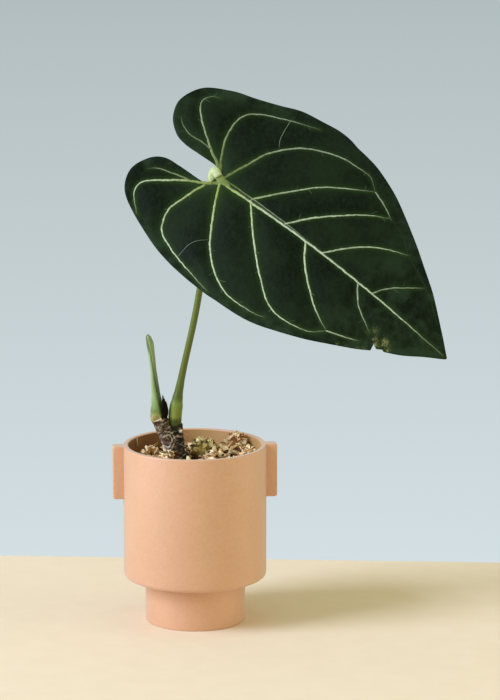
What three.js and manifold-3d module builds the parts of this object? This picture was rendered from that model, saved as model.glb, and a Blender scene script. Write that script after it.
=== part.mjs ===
// A velvet-leaved anthurium with one large heart-shaped leaf and a new shoot, in a footed ceramic pot.
// Millimetres, +Z up. The origin is the centre of the pot's underside, and the two tabs lie along X.
import * as THREE from 'three';
import { mergeVertices } from 'three/addons/utils/BufferGeometryUtils.js';
import Module from 'manifold-3d';

const wasm = await Module();
wasm.setup();

// Clearance between pieces that touch
const GAP = 0.3;

// Pot
const POT_HEIGHT = 160;
const BODY_RADIUS = 63.5;
const FOOT_RADIUS = 44.5;
const FOOT_HEIGHT = 40;
const WALL = 4.5;
const FLOOR = 6;
const BODY_FILLET = 4;
const EDGE_FILLET = 1.2;
const POT_SIDES = 48;
const TAB_REACH = 73;
const TAB_WIDTH = 12;
const TAB_HEIGHT = 48;
const TAB_CORNER = 1.5;
const TAB_BEVEL = 0.8;
const DRAIN_RADIUS = 4;
const DRAIN_CIRCLE = 18;
const DRAIN_COUNT = 3;

// Potting mix
const MIX_LEVEL = 143.5;
const MIX_RADIUS = BODY_RADIUS - WALL - GAP;
const MIX_SIDES = 36;
const MIX_RINGS = 8;
const MIX_SLOPE = 0.05;
const LUMPS = { height: 1.5, across: 7.3, back: 6.1, shift: 1 };
const CRUMBS = { height: 1.1, across: 3.9, back: 4.7, shift: 2 };
const CHIP_COUNT = 60;
const CHIP_LENGTH = 13;
const CHIP_SHORTEST = 0.6;
const CHIP_WIDTHS = [0.4, 0.75];
const CHIP_HEIGHTS = [4, 6.5];
const CHIP_TAPERS = [0.65, 1.1];
const CHIP_TILT = 0.6;
const CHIP_SEED = 7;
const GOLDEN_TURN = 137.5;

// Moss clumps: where each sits on the mix, its half width, half depth and height above the mix
const MOSS_CLUMPS = [
  { at: [10, 27], size: [15, 11, 16] },
  { at: [40, 31], size: [13, 12, 18] },
  { at: [46, -2], size: [9, 13, 8] },
  { at: [-39, 16], size: [11, 10, 8] },
  { at: [17, -1], size: [12, 9, 7] },
  { at: [-31, -22], size: [13, 11, 8] },
  { at: [5, -38], size: [15, 11, 8] },
  { at: [-19, 43], size: [11, 9, 7] },
];
const MOSS_LOBES = 3;
const MAIN_LOBE = 0.78;
const SIDE_LOBES = [0.45, 0.62];
const KNOB_HEIGHT = 0.2;
const MOSS_SEED = 31;

// Rhizome: axis points of the leaning arm, which carries the shoot, and of the upright arm that forks off it
const SHOOT_ARM = [[-9, 8, 106], [-11, 7, 135], [-16, 6, 152], [-22.5, 6, 163], [-31, 7.1, 182]];
const LEAF_ARM = [[-13, 7.5, 143], [-15, 9, 152], [-16.2, 9, 163], [-17.3, 8.5, 176.5]];
const ARM_RADIUS = 7;
const ARM_SIDES = 10;
const RING_PITCH = 6;
const RING_HEIGHT = 0.8;
const ROOT_TIPS = [
  { from: [-27, 4, 170], to: [-31, -3.5, 172.5], radius: 2.6 },
  { from: [-14, 6, 168], to: [-11.5, -0.5, 170.5], radius: 2.6 },
  { from: [-21, 3, 158], to: [-23.5, -5.5, 154], radius: 2.4 },
];
const TIP_ROUNDING = 1.3;

// Petiole: axis points from the rhizome to the blade, and its radius along the way
const PETIOLE_AXIS = [
  [-17.2, 8.2, 174.5], [-16.8, 7.8, 185], [-15.2, 7.8, 197], [-9.8, 8.8, 224.2], [0.6, 12.1, 269.4],
  [5.6, 13.7, 296], [12, 16.1, 340.3], [16.4, 17.6, 378], [17.8, 16.6, 394], [19.4, 12.6, 401.2],
  [22.6, 7.8, 397.4],
];
const PETIOLE_RADII = [
  [174.5, 5.7], [185, 6], [193, 5.9], [199, 4.8], [207, 3.8], [218, 3.2], [235, 2.95], [374, 2.9],
  [385, 3.9], [396, 4.8],
];
const GENICULUM_START = 0.965;
const GENICULUM_END_RADIUS = 3.6;
const PETIOLE_SIDES = 10;
const PETIOLE_STEPS = 36;

// New shoot and the torn old sheath beside it
const SHOOT_AXIS = [
  [-32.2, 7.4, 180], [-32.6, 7.4, 189], [-33.6, 7.2, 202], [-35.5, 6.8, 221], [-37.5, 6.2, 240],
  [-39.1, 5.7, 251.5], [-41.2, 5.2, 258.3],
];
const SHOOT_RADII = [
  [180, 6.1], [184, 6.3], [189, 5.9], [197, 4.6], [207, 3.6], [217, 3.1], [227, 2.7], [240, 2.9], [250, 3.2],
  [255, 2.6], [258.3, 1.2],
];
const SHOOT_FLATTENING = 0.22;
const SHOOT_SIDES = 10;
const SHOOT_STEPS = 18;
const OLD_SHEATH_RADIUS = 7.4;
const OLD_SHEATH_FOOT = 182.5;
const OLD_SHEATH_THICKNESS = 0.8;
const OLD_SHEATH_LEAN = 0.03;
const OLD_SHEATH_TEARS = [5, 13, 22, 12, 16, 8, 11, 6, 9, 4];
const OLD_SHEATH_TURN = [-75, 65];

// Leaf blade: where the veins meet, and how the blade is turned there, in degrees
const BLADE_JUNCTION = [23.3, 6.2, 395.4];
const BLADE_HEADING = -27.56;
const BLADE_DIP = 33.65;
const BLADE_ROLL = 52.45;
const BLADE_THICKNESS = 0.9;
const BLADE_LENGTH = 266;
const BLADE_ARCH = 16;
const LOBE_DROOP = 8;
const LOBE_LENGTH = 80;
const LOBE_FADE = 25;
const SIDE_DROOP = 9;
const SIDE_REACH = 100;
const QUILT_HEIGHT = 1.8;
const QUILT_SPREAD = 9;
const GRID_STEP = 11;
const GRID_BOX = { length: 350, width: 212, centre: [91, 5] };

// Blade outline, x along the midrib towards the tip and y across: two smooth edges from the sinus to the tip
const UPPER_EDGE = [
  [-4, 4.5], [-12, 8.2], [-30, 7.2], [-46, 6.8], [-59, 10.1], [-72.6, 21.5], [-78.5, 39], [-70, 60.3],
  [-48, 74], [-28, 81.3], [-5, 90.6], [12, 97], [30, 99.7], [50, 101.7], [64, 101], [75, 98.5], [87, 96.8],
  [100, 94.3], [115, 89.2], [132, 82], [150, 72.2], [172, 59.3], [190, 47.8], [210, 35], [226, 22.7],
  [240, 11.4], [256, -1.7],
];
const LOWER_EDGE_START = [
  [-5, -8], [-12, -10.7], [-35, -12], [-52, -14.3], [-63.3, -24], [-68.4, -41], [-60, -58.7], [-38, -71],
  [0, -84], [35, -89.5], [75, -90], [110, -86], [150, -71], [185, -52.5], [203, -41],
];
const LOWER_EDGE_NOTCH = [[201.5, -34.8], [206, -37], [210, -34]];
const LOWER_EDGE_END = [[212.5, -34.6], [226, -26.7], [242, -14], [256, -3.3]];
const EDGE_STEP = 9;

// Veins in the same blade coordinates, with the width of each where it starts
const MIDRIB = { width: 6, points: [[-3, -1], [60, 0.5], [130, -0.5], [200, -1.5], [250, -2.5]] };
const VEINS = [
  { width: 4, points: [[0, 3], [-12, 12.5], [-25, 18.5], [-50, 34.5], [-62, 47], [-60, 57], [-52, 62]] },
  { width: 3, points: [[-25, 17.5], [-36, 18.2], [-48, 17], [-60, 20.5], [-67, 26]] },
  { width: 3.6, points: [[-6, 8], [-14, 19], [-24, 40], [-25, 60], [-13, 73], [10, 83], [37, 92.5]] },
  { width: 4, points: [[3, 2], [10, 25], [18, 46], [38, 68], [67, 81], [88, 83.5], [102, 83], [113, 75]] },
  { width: 3.6, points: [[35, 1], [60, 31], [80, 51.5], [114, 74.5]] },
  { width: 3.6, points: [[73, 0], [90, 21.5], [120, 50], [140, 63]] },
  { width: 3.4, points: [[116, 0], [132, 19.5], [150, 35], [174, 47]] },
  { width: 2.6, points: [[172, -1], [181, 13], [203, 33]] },
  { width: 2.8, points: [[114, 74.5], [139, 65], [160, 57], [174, 47], [206, 32.5], [232, 15]] },
  { width: 5, points: [[5, -1], [-2.7, -7], [-8, -12]] },
  {
    width: 4,
    points: [[-2.7, -7], [-12, -12.8], [-23, -18.9], [-39, -31.2], [-52, -43], [-52, -55], [-37, -69]],
  },
  { width: 3, points: [[-19, -16.2], [-30, -18.8], [-41, -22.3], [-50, -25.4], [-57, -31]] },
  {
    width: 3.6,
    points: [
      [-7, -11.5], [-10.5, -21], [-14, -34], [-17.3, -48], [-13.7, -61], [-5.8, -70], [18, -79], [60, -88],
    ],
  },
  { width: 4, points: [[3, -3], [17, -29], [40, -60], [70, -78.5], [100, -79.5], [114, -76]] },
  { width: 3.6, points: [[35, 0], [60, -26], [90, -52], [116, -67], [148, -63.5], [163, -52]] },
  { width: 3.6, points: [[98, -1], [112, -19], [140, -41], [163, -52]] },
  { width: 2.8, points: [[163, -52], [180, -45.5], [190, -41]] },
  { width: 2.8, points: [[156, -1], [170, -17], [192, -29]] },
];
const RIB_RISE = 0.6;
const RIB_DEPTH = 1.3;
const MIDRIB_DEPTH = 2.2;
const RIB_STEP = 18;
const RIB_MIN_WIDTH = 3;
const RIB_END_WIDTH = 0.5;
const RIB_END_SINK = 0.6;
const TRIM_DEPTH = 120;

const radians = THREE.MathUtils.degToRad;
const lerp = THREE.MathUtils.lerp;
const vector = ([x, y, z]) => new THREE.Vector3(x, y, z);

// A repeatable stream of numbers from 0 to 1
function seededRandom(seed) {
  let state = seed;
  return () => {
    state = (state * 1664525 + 1013904223) % 4294967296;
    return state / 4294967296;
  };
}

// Reads a value off a list of [position, value] pairs, easing from one pair to the next
function profileValue(pairs, position) {
  const next = pairs.findIndex(([start]) => start > position);
  if (next === 0) return pairs[0][1];
  if (next < 0) return pairs[pairs.length - 1][1];
  const [fromPosition, fromValue] = pairs[next - 1];
  const [toPosition, toValue] = pairs[next];
  const part = (position - fromPosition) / (toPosition - fromPosition);
  return lerp(fromValue, toValue, THREE.MathUtils.smoothstep(part, 0, 1));
}

// Geometry with shared corners merged and only its positions kept
function welded(geometry) {
  const bare = geometry.clone();
  bare.deleteAttribute('normal');
  bare.deleteAttribute('uv');
  return mergeVertices(bare, 1e-5);
}

// Geometry to solid, leaving out triangles that have closed to a line at an axis
function solid(geometry) {
  const mesh = welded(geometry);
  const index = Array.from(mesh.index.array);
  const triVerts = [];
  for (let i = 0; i < index.length; i += 3) {
    const [a, b, c] = index.slice(i, i + 3);
    if (a !== b && b !== c && c !== a) triVerts.push(a, b, c);
  }
  return new wasm.Manifold(new wasm.Mesh({
    numProp: 3,
    vertProperties: Float32Array.from(mesh.attributes.position.array),
    triVerts: Uint32Array.from(triVerts),
  }));
}

function geometryOf(shape) {
  const mesh = shape.getMesh();
  const geometry = new THREE.BufferGeometry();
  geometry.setAttribute('position', new THREE.BufferAttribute(Float32Array.from(mesh.vertProperties), 3));
  geometry.setIndex(new THREE.BufferAttribute(Uint32Array.from(mesh.triVerts), 1));
  return geometry;
}

const joined = (shapes) => shapes.reduce((whole, shape) => whole.add(shape));

// The largest of the separate bodies that cuts leave
function largestBody(shape) {
  return shape.decompose().reduce((best, body) => (body.volume() > best.volume() ? body : best));
}

// Moves every corner of a geometry by a function of its position
function reshaped(geometry, move) {
  const shaped = welded(geometry);
  const positions = shaped.attributes.position;
  const point = new THREE.Vector3();
  for (let i = 0; i < positions.count; i += 1) {
    point.fromBufferAttribute(positions, i);
    move(point, i);
    positions.setXYZ(i, point.x, point.y, point.z);
  }
  return shaped;
}

// A round bar bent along a curve: radiusAt gets the way along from 0 to 1, the axis point and the angle.
// grow makes it larger all over, ends included.
function bentBar(curve, radiusAt, sides, steps, grow = 0) {
  const frames = curve.computeFrenetFrames(steps);
  const bar = new THREE.CylinderGeometry(1, 1, 1, sides, steps);
  return solid(reshaped(bar, (point) => {
    const along = point.y + 0.5;
    const station = Math.round(along * steps);
    const reach = Math.hypot(point.x, point.z);
    const angle = Math.atan2(point.z, point.x);
    const centre = curve.getPointAt(station / steps);
    const radius = reach * (radiusAt(along, centre, angle) + grow);
    const endShift = (station === steps ? grow : 0) - (station === 0 ? grow : 0);
    point.copy(centre);
    point.addScaledVector(frames.tangents[station], endShift);
    point.addScaledVector(frames.normals[station], radius * Math.cos(angle));
    point.addScaledVector(frames.binormals[station], -radius * Math.sin(angle));
  }));
}

const curveThrough = (points) => new THREE.CatmullRomCurve3(points.map(vector), false, 'centripetal');

// Turns a lathe profile given as [radius, height] about the vertical axis
function turned(profile, sides) {
  const points = profile.map(([radius, height]) => new THREE.Vector2(radius, height));
  return new THREE.LatheGeometry(points, sides).rotateX(Math.PI / 2);
}

// Corner points of a quarter round, from one angle to the next about a centre
function roundCorner(x, y, radius, fromDegrees, toDegrees, steps) {
  const corner = [];
  for (let i = 0; i <= steps; i += 1) {
    const angle = radians(lerp(fromDegrees, toDegrees, i / steps));
    corner.push([x + radius * Math.cos(angle), y + radius * Math.sin(angle)]);
  }
  return corner;
}

function potBody() {
  const innerRadius = BODY_RADIUS - WALL;
  const innerFoot = FOOT_RADIUS - WALL;
  const profile = [
    [0, 0],
    ...roundCorner(FOOT_RADIUS - EDGE_FILLET, EDGE_FILLET, EDGE_FILLET, -90, 0, 2),
    [FOOT_RADIUS, FOOT_HEIGHT],
    ...roundCorner(BODY_RADIUS - BODY_FILLET, FOOT_HEIGHT + BODY_FILLET, BODY_FILLET, -90, 0, 4),
    ...roundCorner(BODY_RADIUS - EDGE_FILLET, POT_HEIGHT - EDGE_FILLET, EDGE_FILLET, 0, 90, 2),
    ...roundCorner(innerRadius + EDGE_FILLET, POT_HEIGHT - EDGE_FILLET, EDGE_FILLET, 90, 180, 2),
    [innerRadius, FOOT_HEIGHT + WALL],
    [innerFoot, FOOT_HEIGHT + WALL],
    [innerFoot, FLOOR],
    [0, FLOOR],
  ];
  return solid(turned(profile, POT_SIDES));
}

// A flat tab in the XZ plane, rooted inside the wall and level with the rim
function potTab(side) {
  const root = BODY_RADIUS - WALL / 2;
  const reach = TAB_REACH - TAB_BEVEL;
  const low = POT_HEIGHT - TAB_HEIGHT + TAB_BEVEL;
  const high = POT_HEIGHT - TAB_BEVEL;
  const outline = new THREE.Shape([
    [root, low],
    ...roundCorner(reach - TAB_CORNER, low + TAB_CORNER, TAB_CORNER, -90, 0, 2),
    ...roundCorner(reach - TAB_CORNER, high - TAB_CORNER, TAB_CORNER, 0, 90, 2),
    [root, high],
  ].map(([x, z]) => new THREE.Vector2(x, z)));
  const tab = new THREE.ExtrudeGeometry(outline, {
    depth: TAB_WIDTH - 2 * TAB_BEVEL,
    bevelThickness: TAB_BEVEL,
    bevelSize: TAB_BEVEL,
    bevelSegments: 1,
  });
  tab.rotateX(Math.PI / 2).translate(0, TAB_WIDTH / 2 - TAB_BEVEL, 0);
  if (side < 0) tab.rotateZ(Math.PI);
  return solid(tab);
}

function makePot() {
  let pot = joined([potBody(), potTab(1), potTab(-1)]);
  for (let i = 0; i < DRAIN_COUNT; i += 1) {
    const angle = (2 * Math.PI * i) / DRAIN_COUNT + Math.PI / 2;
    const drain = new THREE.CylinderGeometry(DRAIN_RADIUS, DRAIN_RADIUS, 3 * FLOOR, 12);
    drain.rotateX(Math.PI / 2).translate(DRAIN_CIRCLE * Math.cos(angle), DRAIN_CIRCLE * Math.sin(angle), 0);
    pot = pot.subtract(solid(drain));
  }
  return pot;
}

// The surface of the mix: lower on the left, and rough all over
function mixHeight(x, y) {
  const lumps = LUMPS.height * Math.sin(x / LUMPS.across + LUMPS.shift) * Math.cos(y / LUMPS.back);
  const crumbs = CRUMBS.height * Math.sin(x / CRUMBS.across - y / CRUMBS.back + CRUMBS.shift);
  return MIX_LEVEL + MIX_SLOPE * x + lumps + crumbs;
}

// The filling of the pot; grow lifts its surface
function mixBase(grow = 0) {
  const footRadius = FOOT_RADIUS - WALL - GAP;
  const shoulder = FOOT_HEIGHT + WALL + GAP;
  const bottom = FLOOR + GAP;
  const profile = [[0, bottom], [footRadius, bottom], [footRadius, shoulder], [MIX_RADIUS, shoulder]];
  for (let ring = MIX_RINGS; ring >= 0; ring -= 1) {
    profile.push([(MIX_RADIUS * ring) / MIX_RINGS, MIX_LEVEL]);
  }
  return solid(reshaped(turned(profile, MIX_SIDES), (point) => {
    if (point.z > MIX_LEVEL - 1) point.z = mixHeight(point.x, point.y) + grow;
  }));
}

// Whether a spot on the mix lies under a clump of moss, or within a margin round it
function underMoss(x, y, margin) {
  return MOSS_CLUMPS.some(({ at, size }) => {
    const across = (x - at[0]) / (size[0] + margin);
    const back = (y - at[1]) / (size[1] + margin);
    return Math.hypot(across, back) < 1;
  });
}

// Bark chips half sunk in the surface between the moss clumps, turned and tilted at random
function barkChips() {
  const random = seededRandom(CHIP_SEED);
  const between = ([low, high]) => lerp(low, high, random());
  const tilt = [-CHIP_TILT, CHIP_TILT];
  const chips = [];
  for (let i = 0; i < CHIP_COUNT; i += 1) {
    const reach = (MIX_RADIUS - CHIP_LENGTH / 4) * Math.sqrt((i + 0.5) / CHIP_COUNT);
    const angle = i * radians(GOLDEN_TURN) + 0.5 * random();
    const x = reach * Math.cos(angle);
    const y = reach * Math.sin(angle);
    const length = CHIP_LENGTH * between([CHIP_SHORTEST, 1]);
    const width = length * between(CHIP_WIDTHS);
    const height = between(CHIP_HEIGHTS);
    const chip = reshaped(new THREE.BoxGeometry(length, width, height), (point) => {
      point.x *= between(CHIP_TAPERS);
      point.y *= between(CHIP_TAPERS);
    });
    chip.rotateX(between(tilt)).rotateY(between(tilt)).rotateZ(Math.PI * random());
    chip.translate(x, y, mixHeight(x, y) + 0.15 * height);
    if (!underMoss(x, y, 0.4 * CHIP_LENGTH)) chips.push(solid(chip));
  }
  return joined(chips);
}

// A tuft of dried moss: knobbly lobes that overlap
function mossClump({ at: [x, y], size }, seed) {
  const random = seededRandom(seed);
  const lobes = [];
  for (let i = 0; i < MOSS_LOBES; i += 1) {
    const angle = (2 * Math.PI * i) / MOSS_LOBES + 2 * random();
    const share = i === 0 ? MAIN_LOBE : lerp(SIDE_LOBES[0], SIDE_LOBES[1], random());
    const offset = i === 0 ? 0 : 1 - share;
    const phase = 6 * random();
    const lobe = reshaped(new THREE.IcosahedronGeometry(1, 1), (point) => {
      const knob = Math.sin(4.1 * point.x + phase) * Math.cos(3.7 * point.y - phase + 2.9 * point.z);
      point.multiplyScalar(1 + KNOB_HEIGHT * knob);
      point.set(size[0] * point.x, size[1] * point.y, size[2] * point.z).multiplyScalar(share);
    });
    lobe.translate(
      x + size[0] * offset * Math.cos(angle),
      y + size[1] * offset * Math.sin(angle),
      mixHeight(x, y) + size[2] * (i === 0 ? 0.2 : 0.05),
    );
    lobes.push(solid(lobe));
  }
  return joined(lobes);
}

// An arm with ring scars: every other station along it stands out
function rhizomeArm(points, grow) {
  const axis = curveThrough(points);
  const steps = 2 * Math.round(axis.getLength() / RING_PITCH);
  const radiusAt = (along) => ARM_RADIUS + (Math.round(along * steps) % 2 === 0 ? RING_HEIGHT : 0);
  return bentBar(axis, radiusAt, ARM_SIDES, steps, grow);
}

// A small blunt root tip on the rhizome, pointing from its root to its end
function rootTip({ from, to, radius }) {
  return bentBar(curveThrough([from, to]), (along) => radius * Math.cos(TIP_ROUNDING * along), 6, 2);
}

function makeRhizome() {
  return joined([rhizomeArm(SHOOT_ARM, 0), rhizomeArm(LEAF_ARM, 0), ...ROOT_TIPS.map(rootTip)]);
}

function petioleRadius(along, centre) {
  const bend = THREE.MathUtils.smoothstep(along, GENICULUM_START, 1);
  return lerp(profileValue(PETIOLE_RADII, centre.z), GENICULUM_END_RADIUS, bend);
}

function makePetiole(grow) {
  return bentBar(curveThrough(PETIOLE_AXIS), petioleRadius, PETIOLE_SIDES, PETIOLE_STEPS, grow);
}

// The rolled young leaf, flattened towards its blunt tip
function makeShoot(grow) {
  return bentBar(curveThrough(SHOOT_AXIS), (along, centre, angle) => {
    const round = profileValue(SHOOT_RADII, centre.z);
    const flatten = 1 - SHOOT_FLATTENING * along * Math.cos(2 * angle);
    return round * flatten;
  }, SHOOT_SIDES, SHOOT_STEPS, grow);
}

// A dry sheet with a torn upper edge, wrapped round the side of the shoot's foot
function makeOldSheath(grow) {
  const columns = OLD_SHEATH_TEARS.length - 1;
  const thickness = OLD_SHEATH_THICKNESS + 2 * grow;
  const [startTurn, endTurn] = OLD_SHEATH_TURN.map(radians);
  const [centreX, centreY] = SHOOT_AXIS[0];
  const sheet = new THREE.BoxGeometry(1, 1, 1, columns, 2, 1);
  return solid(reshaped(sheet, (point) => {
    const tear = OLD_SHEATH_TEARS[Math.round((point.x + 0.5) * columns)];
    const height = lerp(-grow, tear + grow, point.y + 0.5);
    const radius = OLD_SHEATH_RADIUS + thickness * point.z - OLD_SHEATH_LEAN * height;
    const turn = lerp(startTurn, endTurn, point.x + 0.5) + (2 * grow * point.x) / radius;
    point.set(centreX + radius * Math.cos(turn), centreY + radius * Math.sin(turn), OLD_SHEATH_FOOT + height);
  }));
}

// Points along a flat curve through blade points, about one step apart
function smoothPath(points, step) {
  const curve = new THREE.SplineCurve(points.map(([x, y]) => new THREE.Vector2(x, y)));
  return curve.getSpacedPoints(Math.max(2, Math.round(curve.getLength() / step)));
}

const veinPaths = [MIDRIB, ...VEINS].map(({ points }) => smoothPath(points, GRID_STEP / 2));

function distanceToVein(x, y) {
  let nearest = Infinity;
  for (const path of veinPaths) {
    for (const point of path) nearest = Math.min(nearest, Math.hypot(point.x - x, point.y - y));
  }
  return nearest;
}

// Height of the blade's middle surface over its flat plane: arched along the midrib, drooping to both
// sides and down the lobes, and bulging between the veins
function bladeHeight(x, y) {
  const slope = (4 * BLADE_ARCH) / BLADE_LENGTH;
  const arch = x > 0
    ? slope * x * (1 - x / BLADE_LENGTH)
    : slope * x * Math.exp(x / LOBE_FADE) - LOBE_DROOP * (x / LOBE_LENGTH) ** 2;
  const quilt = QUILT_HEIGHT * (1 - Math.exp(-((distanceToVein(x, y) / QUILT_SPREAD) ** 2)));
  return arch - SIDE_DROOP * (y / SIDE_REACH) ** 2 + quilt;
}

// A thin closed sheet over a flat grid, split into triangles alike on both faces
function curvedSheet(grid, heightAt, thickness) {
  const flat = welded(grid);
  const positions = flat.attributes.position;
  const index = Array.from(flat.index.array);
  const count = positions.count;
  const points = [];
  for (const side of [0.5, -0.5]) {
    for (let i = 0; i < count; i += 1) {
      const x = positions.getX(i);
      const y = positions.getY(i);
      points.push(x, y, heightAt(x, y) + side * thickness);
    }
  }
  const faces = [...index];
  const edges = new Set();
  for (let i = 0; i < index.length; i += 3) {
    const [a, b, c] = index.slice(i, i + 3);
    faces.push(a + count, c + count, b + count);
    for (const [from, to] of [[a, b], [b, c], [c, a]]) edges.add(`${from} ${to}`);
  }
  for (const edge of edges) {
    const [from, to] = edge.split(' ').map(Number);
    if (edges.has(`${to} ${from}`)) continue;
    faces.push(from, from + count, to, to, from + count, to + count);
  }
  const sheet = new THREE.BufferGeometry();
  sheet.setAttribute('position', new THREE.Float32BufferAttribute(points, 3));
  sheet.setIndex(faces);
  return solid(sheet);
}

function bladeSheet() {
  const { length, width, centre } = GRID_BOX;
  const columns = Math.round(length / GRID_STEP);
  const rows = Math.round(width / GRID_STEP);
  const grid = new THREE.PlaneGeometry(length, width, columns, rows).translate(...centre, 0);
  return curvedSheet(grid, bladeHeight, BLADE_THICKNESS);
}

// The outline as a tall prism that trims the sheet and its ribs
function bladeOutline() {
  const outline = [
    ...smoothPath(UPPER_EDGE, EDGE_STEP).reverse(),
    ...smoothPath(LOWER_EDGE_START, EDGE_STEP),
    ...LOWER_EDGE_NOTCH.map(([x, y]) => new THREE.Vector2(x, y)),
    ...smoothPath(LOWER_EDGE_END, EDGE_STEP),
  ];
  const shape = new THREE.Shape(outline);
  const prism = new THREE.ExtrudeGeometry(shape, { depth: TRIM_DEPTH, bevelEnabled: false });
  return solid(prism.translate(0, 0, -TRIM_DEPTH / 2));
}

// A tapering rib of kite section along a vein: low above the blade, deeper below, its end sunk in the blade
function rib({ points, width }, depth) {
  const path = smoothPath(points, RIB_STEP);
  const steps = path.length - 1;
  const half = BLADE_THICKNESS / 2;
  const bar = new THREE.CylinderGeometry(1, 1, 1, 4, steps);
  return solid(reshaped(bar, (point) => {
    const station = Math.round((point.y + 0.5) * steps);
    const here = path[station];
    const before = path[Math.max(0, station - 1)];
    const after = path[Math.min(steps, station + 1)];
    const heading = after.clone().sub(before).normalize();
    const taper = 1 - (station / steps) ** 2;
    const sideways = point.x * lerp(RIB_END_WIDTH, width / 2, Math.sqrt(taper));
    const above = lerp(half * RIB_END_SINK, half + RIB_RISE, taper);
    const below = lerp(half * RIB_END_SINK, half + depth, taper);
    const x = here.x + heading.y * sideways;
    const y = here.y - heading.x * sideways;
    const lift = point.z > 0 ? point.z * above : point.z * below;
    point.set(x, y, bladeHeight(here.x, here.y) + lift);
  }));
}

const bladePose = new THREE.Matrix4().compose(
  vector(BLADE_JUNCTION),
  new THREE.Quaternion().setFromEuler(
    new THREE.Euler(radians(BLADE_ROLL), radians(BLADE_DIP), radians(BLADE_HEADING), 'ZYX'),
  ),
  new THREE.Vector3(1, 1, 1),
);

function makeBlade() {
  const ribs = VEINS.filter(({ width }) => width >= RIB_MIN_WIDTH).map((vein) => rib(vein, RIB_DEPTH));
  const blade = joined([bladeSheet(), rib(MIDRIB, MIDRIB_DEPTH), ...ribs]).intersect(bladeOutline());
  const petioleInBladeFrame = geometryOf(makePetiole(GAP)).applyMatrix4(bladePose.clone().invert());
  return largestBody(blade.subtract(solid(petioleInBladeFrame)));
}

function finish(color, roughness) {
  return new THREE.MeshStandardMaterial({ color, roughness, metalness: 0 });
}

const CERAMIC = finish('#dba987', 0.75);
const BARK_MIX = finish('#5c4029', 0.95);
const DRY_MOSS = finish('#c3ad7e', 0.95);
const RHIZOME = finish('#4b3a2c', 0.8);
const STALK = finish('#7c8f3c', 0.5);
const YOUNG_LEAF = finish('#86a24d', 0.5);
const DRY_SHEATH = finish('#2c2119', 0.9);
const VELVET_LEAF = finish('#1f2f1f', 0.6);

const plant = new THREE.Group();

function place(name, shape, material) {
  const mesh = new THREE.Mesh(geometryOf(shape), material);
  mesh.name = name;
  plant.add(mesh);
  return mesh;
}

const growths = [makePetiole(GAP), makeShoot(GAP), makeOldSheath(GAP)];
const rhizome = largestBody(makeRhizome().subtract(joined(growths)));
const rhizomeHole = joined([rhizomeArm(SHOOT_ARM, GAP), rhizomeArm(LEAF_ARM, GAP)]);
const innerWall = new THREE.CylinderGeometry(MIX_RADIUS, MIX_RADIUS, 3 * POT_HEIGHT, MIX_SIDES);
const inPot = solid(innerWall.rotateX(Math.PI / 2));
const mix = joined([mixBase(), barkChips()]).intersect(inPot).subtract(rhizomeHole);
const mossBed = mixBase(GAP);

place('pot', makePot(), CERAMIC);
place('potting_mix', largestBody(mix), BARK_MIX);
MOSS_CLUMPS.forEach((clump, i) => {
  const tuft = mossClump(clump, MOSS_SEED + i).intersect(inPot).subtract(mossBed).subtract(rhizomeHole);
  place(`moss_clump_${i + 1}`, largestBody(tuft), DRY_MOSS);
});
place('rhizome', rhizome, RHIZOME);
place('petiole', makePetiole(0), STALK);
place('new_shoot', makeShoot(0), YOUNG_LEAF);
place('dried_sheath', largestBody(makeOldSheath(0).subtract(makeShoot(GAP))), DRY_SHEATH);
place('leaf_blade', makeBlade(), VELVET_LEAF).applyMatrix4(bladePose);

export default plant;
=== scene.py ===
from math import cos, hypot, pi, radians, sin, sqrt, tau
from random import choice, gauss, randint, random, seed, uniform

import bpy
import numpy as np
from mathutils import Euler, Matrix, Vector, noise
from mathutils.geometry import delaunay_2d_cdt


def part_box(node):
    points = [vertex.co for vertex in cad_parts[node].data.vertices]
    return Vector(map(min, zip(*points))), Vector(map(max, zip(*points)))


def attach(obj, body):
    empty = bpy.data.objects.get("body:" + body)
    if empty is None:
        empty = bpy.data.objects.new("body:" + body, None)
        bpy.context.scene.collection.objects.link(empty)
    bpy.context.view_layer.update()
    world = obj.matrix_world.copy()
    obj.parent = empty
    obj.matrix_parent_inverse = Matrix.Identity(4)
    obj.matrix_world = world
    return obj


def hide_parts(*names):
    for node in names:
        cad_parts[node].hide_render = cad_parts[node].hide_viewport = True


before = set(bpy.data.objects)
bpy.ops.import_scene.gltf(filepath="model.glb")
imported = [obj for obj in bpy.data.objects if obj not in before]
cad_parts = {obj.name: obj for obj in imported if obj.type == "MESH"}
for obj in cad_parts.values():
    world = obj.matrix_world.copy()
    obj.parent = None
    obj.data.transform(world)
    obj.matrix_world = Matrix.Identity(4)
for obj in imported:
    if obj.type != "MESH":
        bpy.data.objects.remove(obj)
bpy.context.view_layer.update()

# All sizes below are millimetres in the frame's own axes, and become metres where a mesh is made
MM = 0.001

# The pot. Its height, its radius and its reach over the tabs are read off its CAD box
pot_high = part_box("pot")[1] / MM
POT_HEIGHT = pot_high.z
BODY_RADIUS = pot_high.y
TAB_REACH = pot_high.x
FOOT_RADIUS = 44.5
FOOT_HEIGHT = 40
WALL = 4.5
FLOOR = 6
BODY_FILLET = 4
EDGE_FILLET = 1.2
FOOT_FILLET = 1
POT_SIDES = 168
SHARP_ANGLE = 40
TAB_WIDTH = 12
TAB_HEIGHT = 48
TAB_CORNER = 2.2
TAB_SOFTNESS = 0.9
DRAIN_RADIUS = 4
DRAIN_CIRCLE = 18
DRAIN_COUNT = 3
DRAIN_SIDES = 32
# The painted shade on the inner wall's left side fades out at this x
SHADE_EDGE = 12

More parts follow.
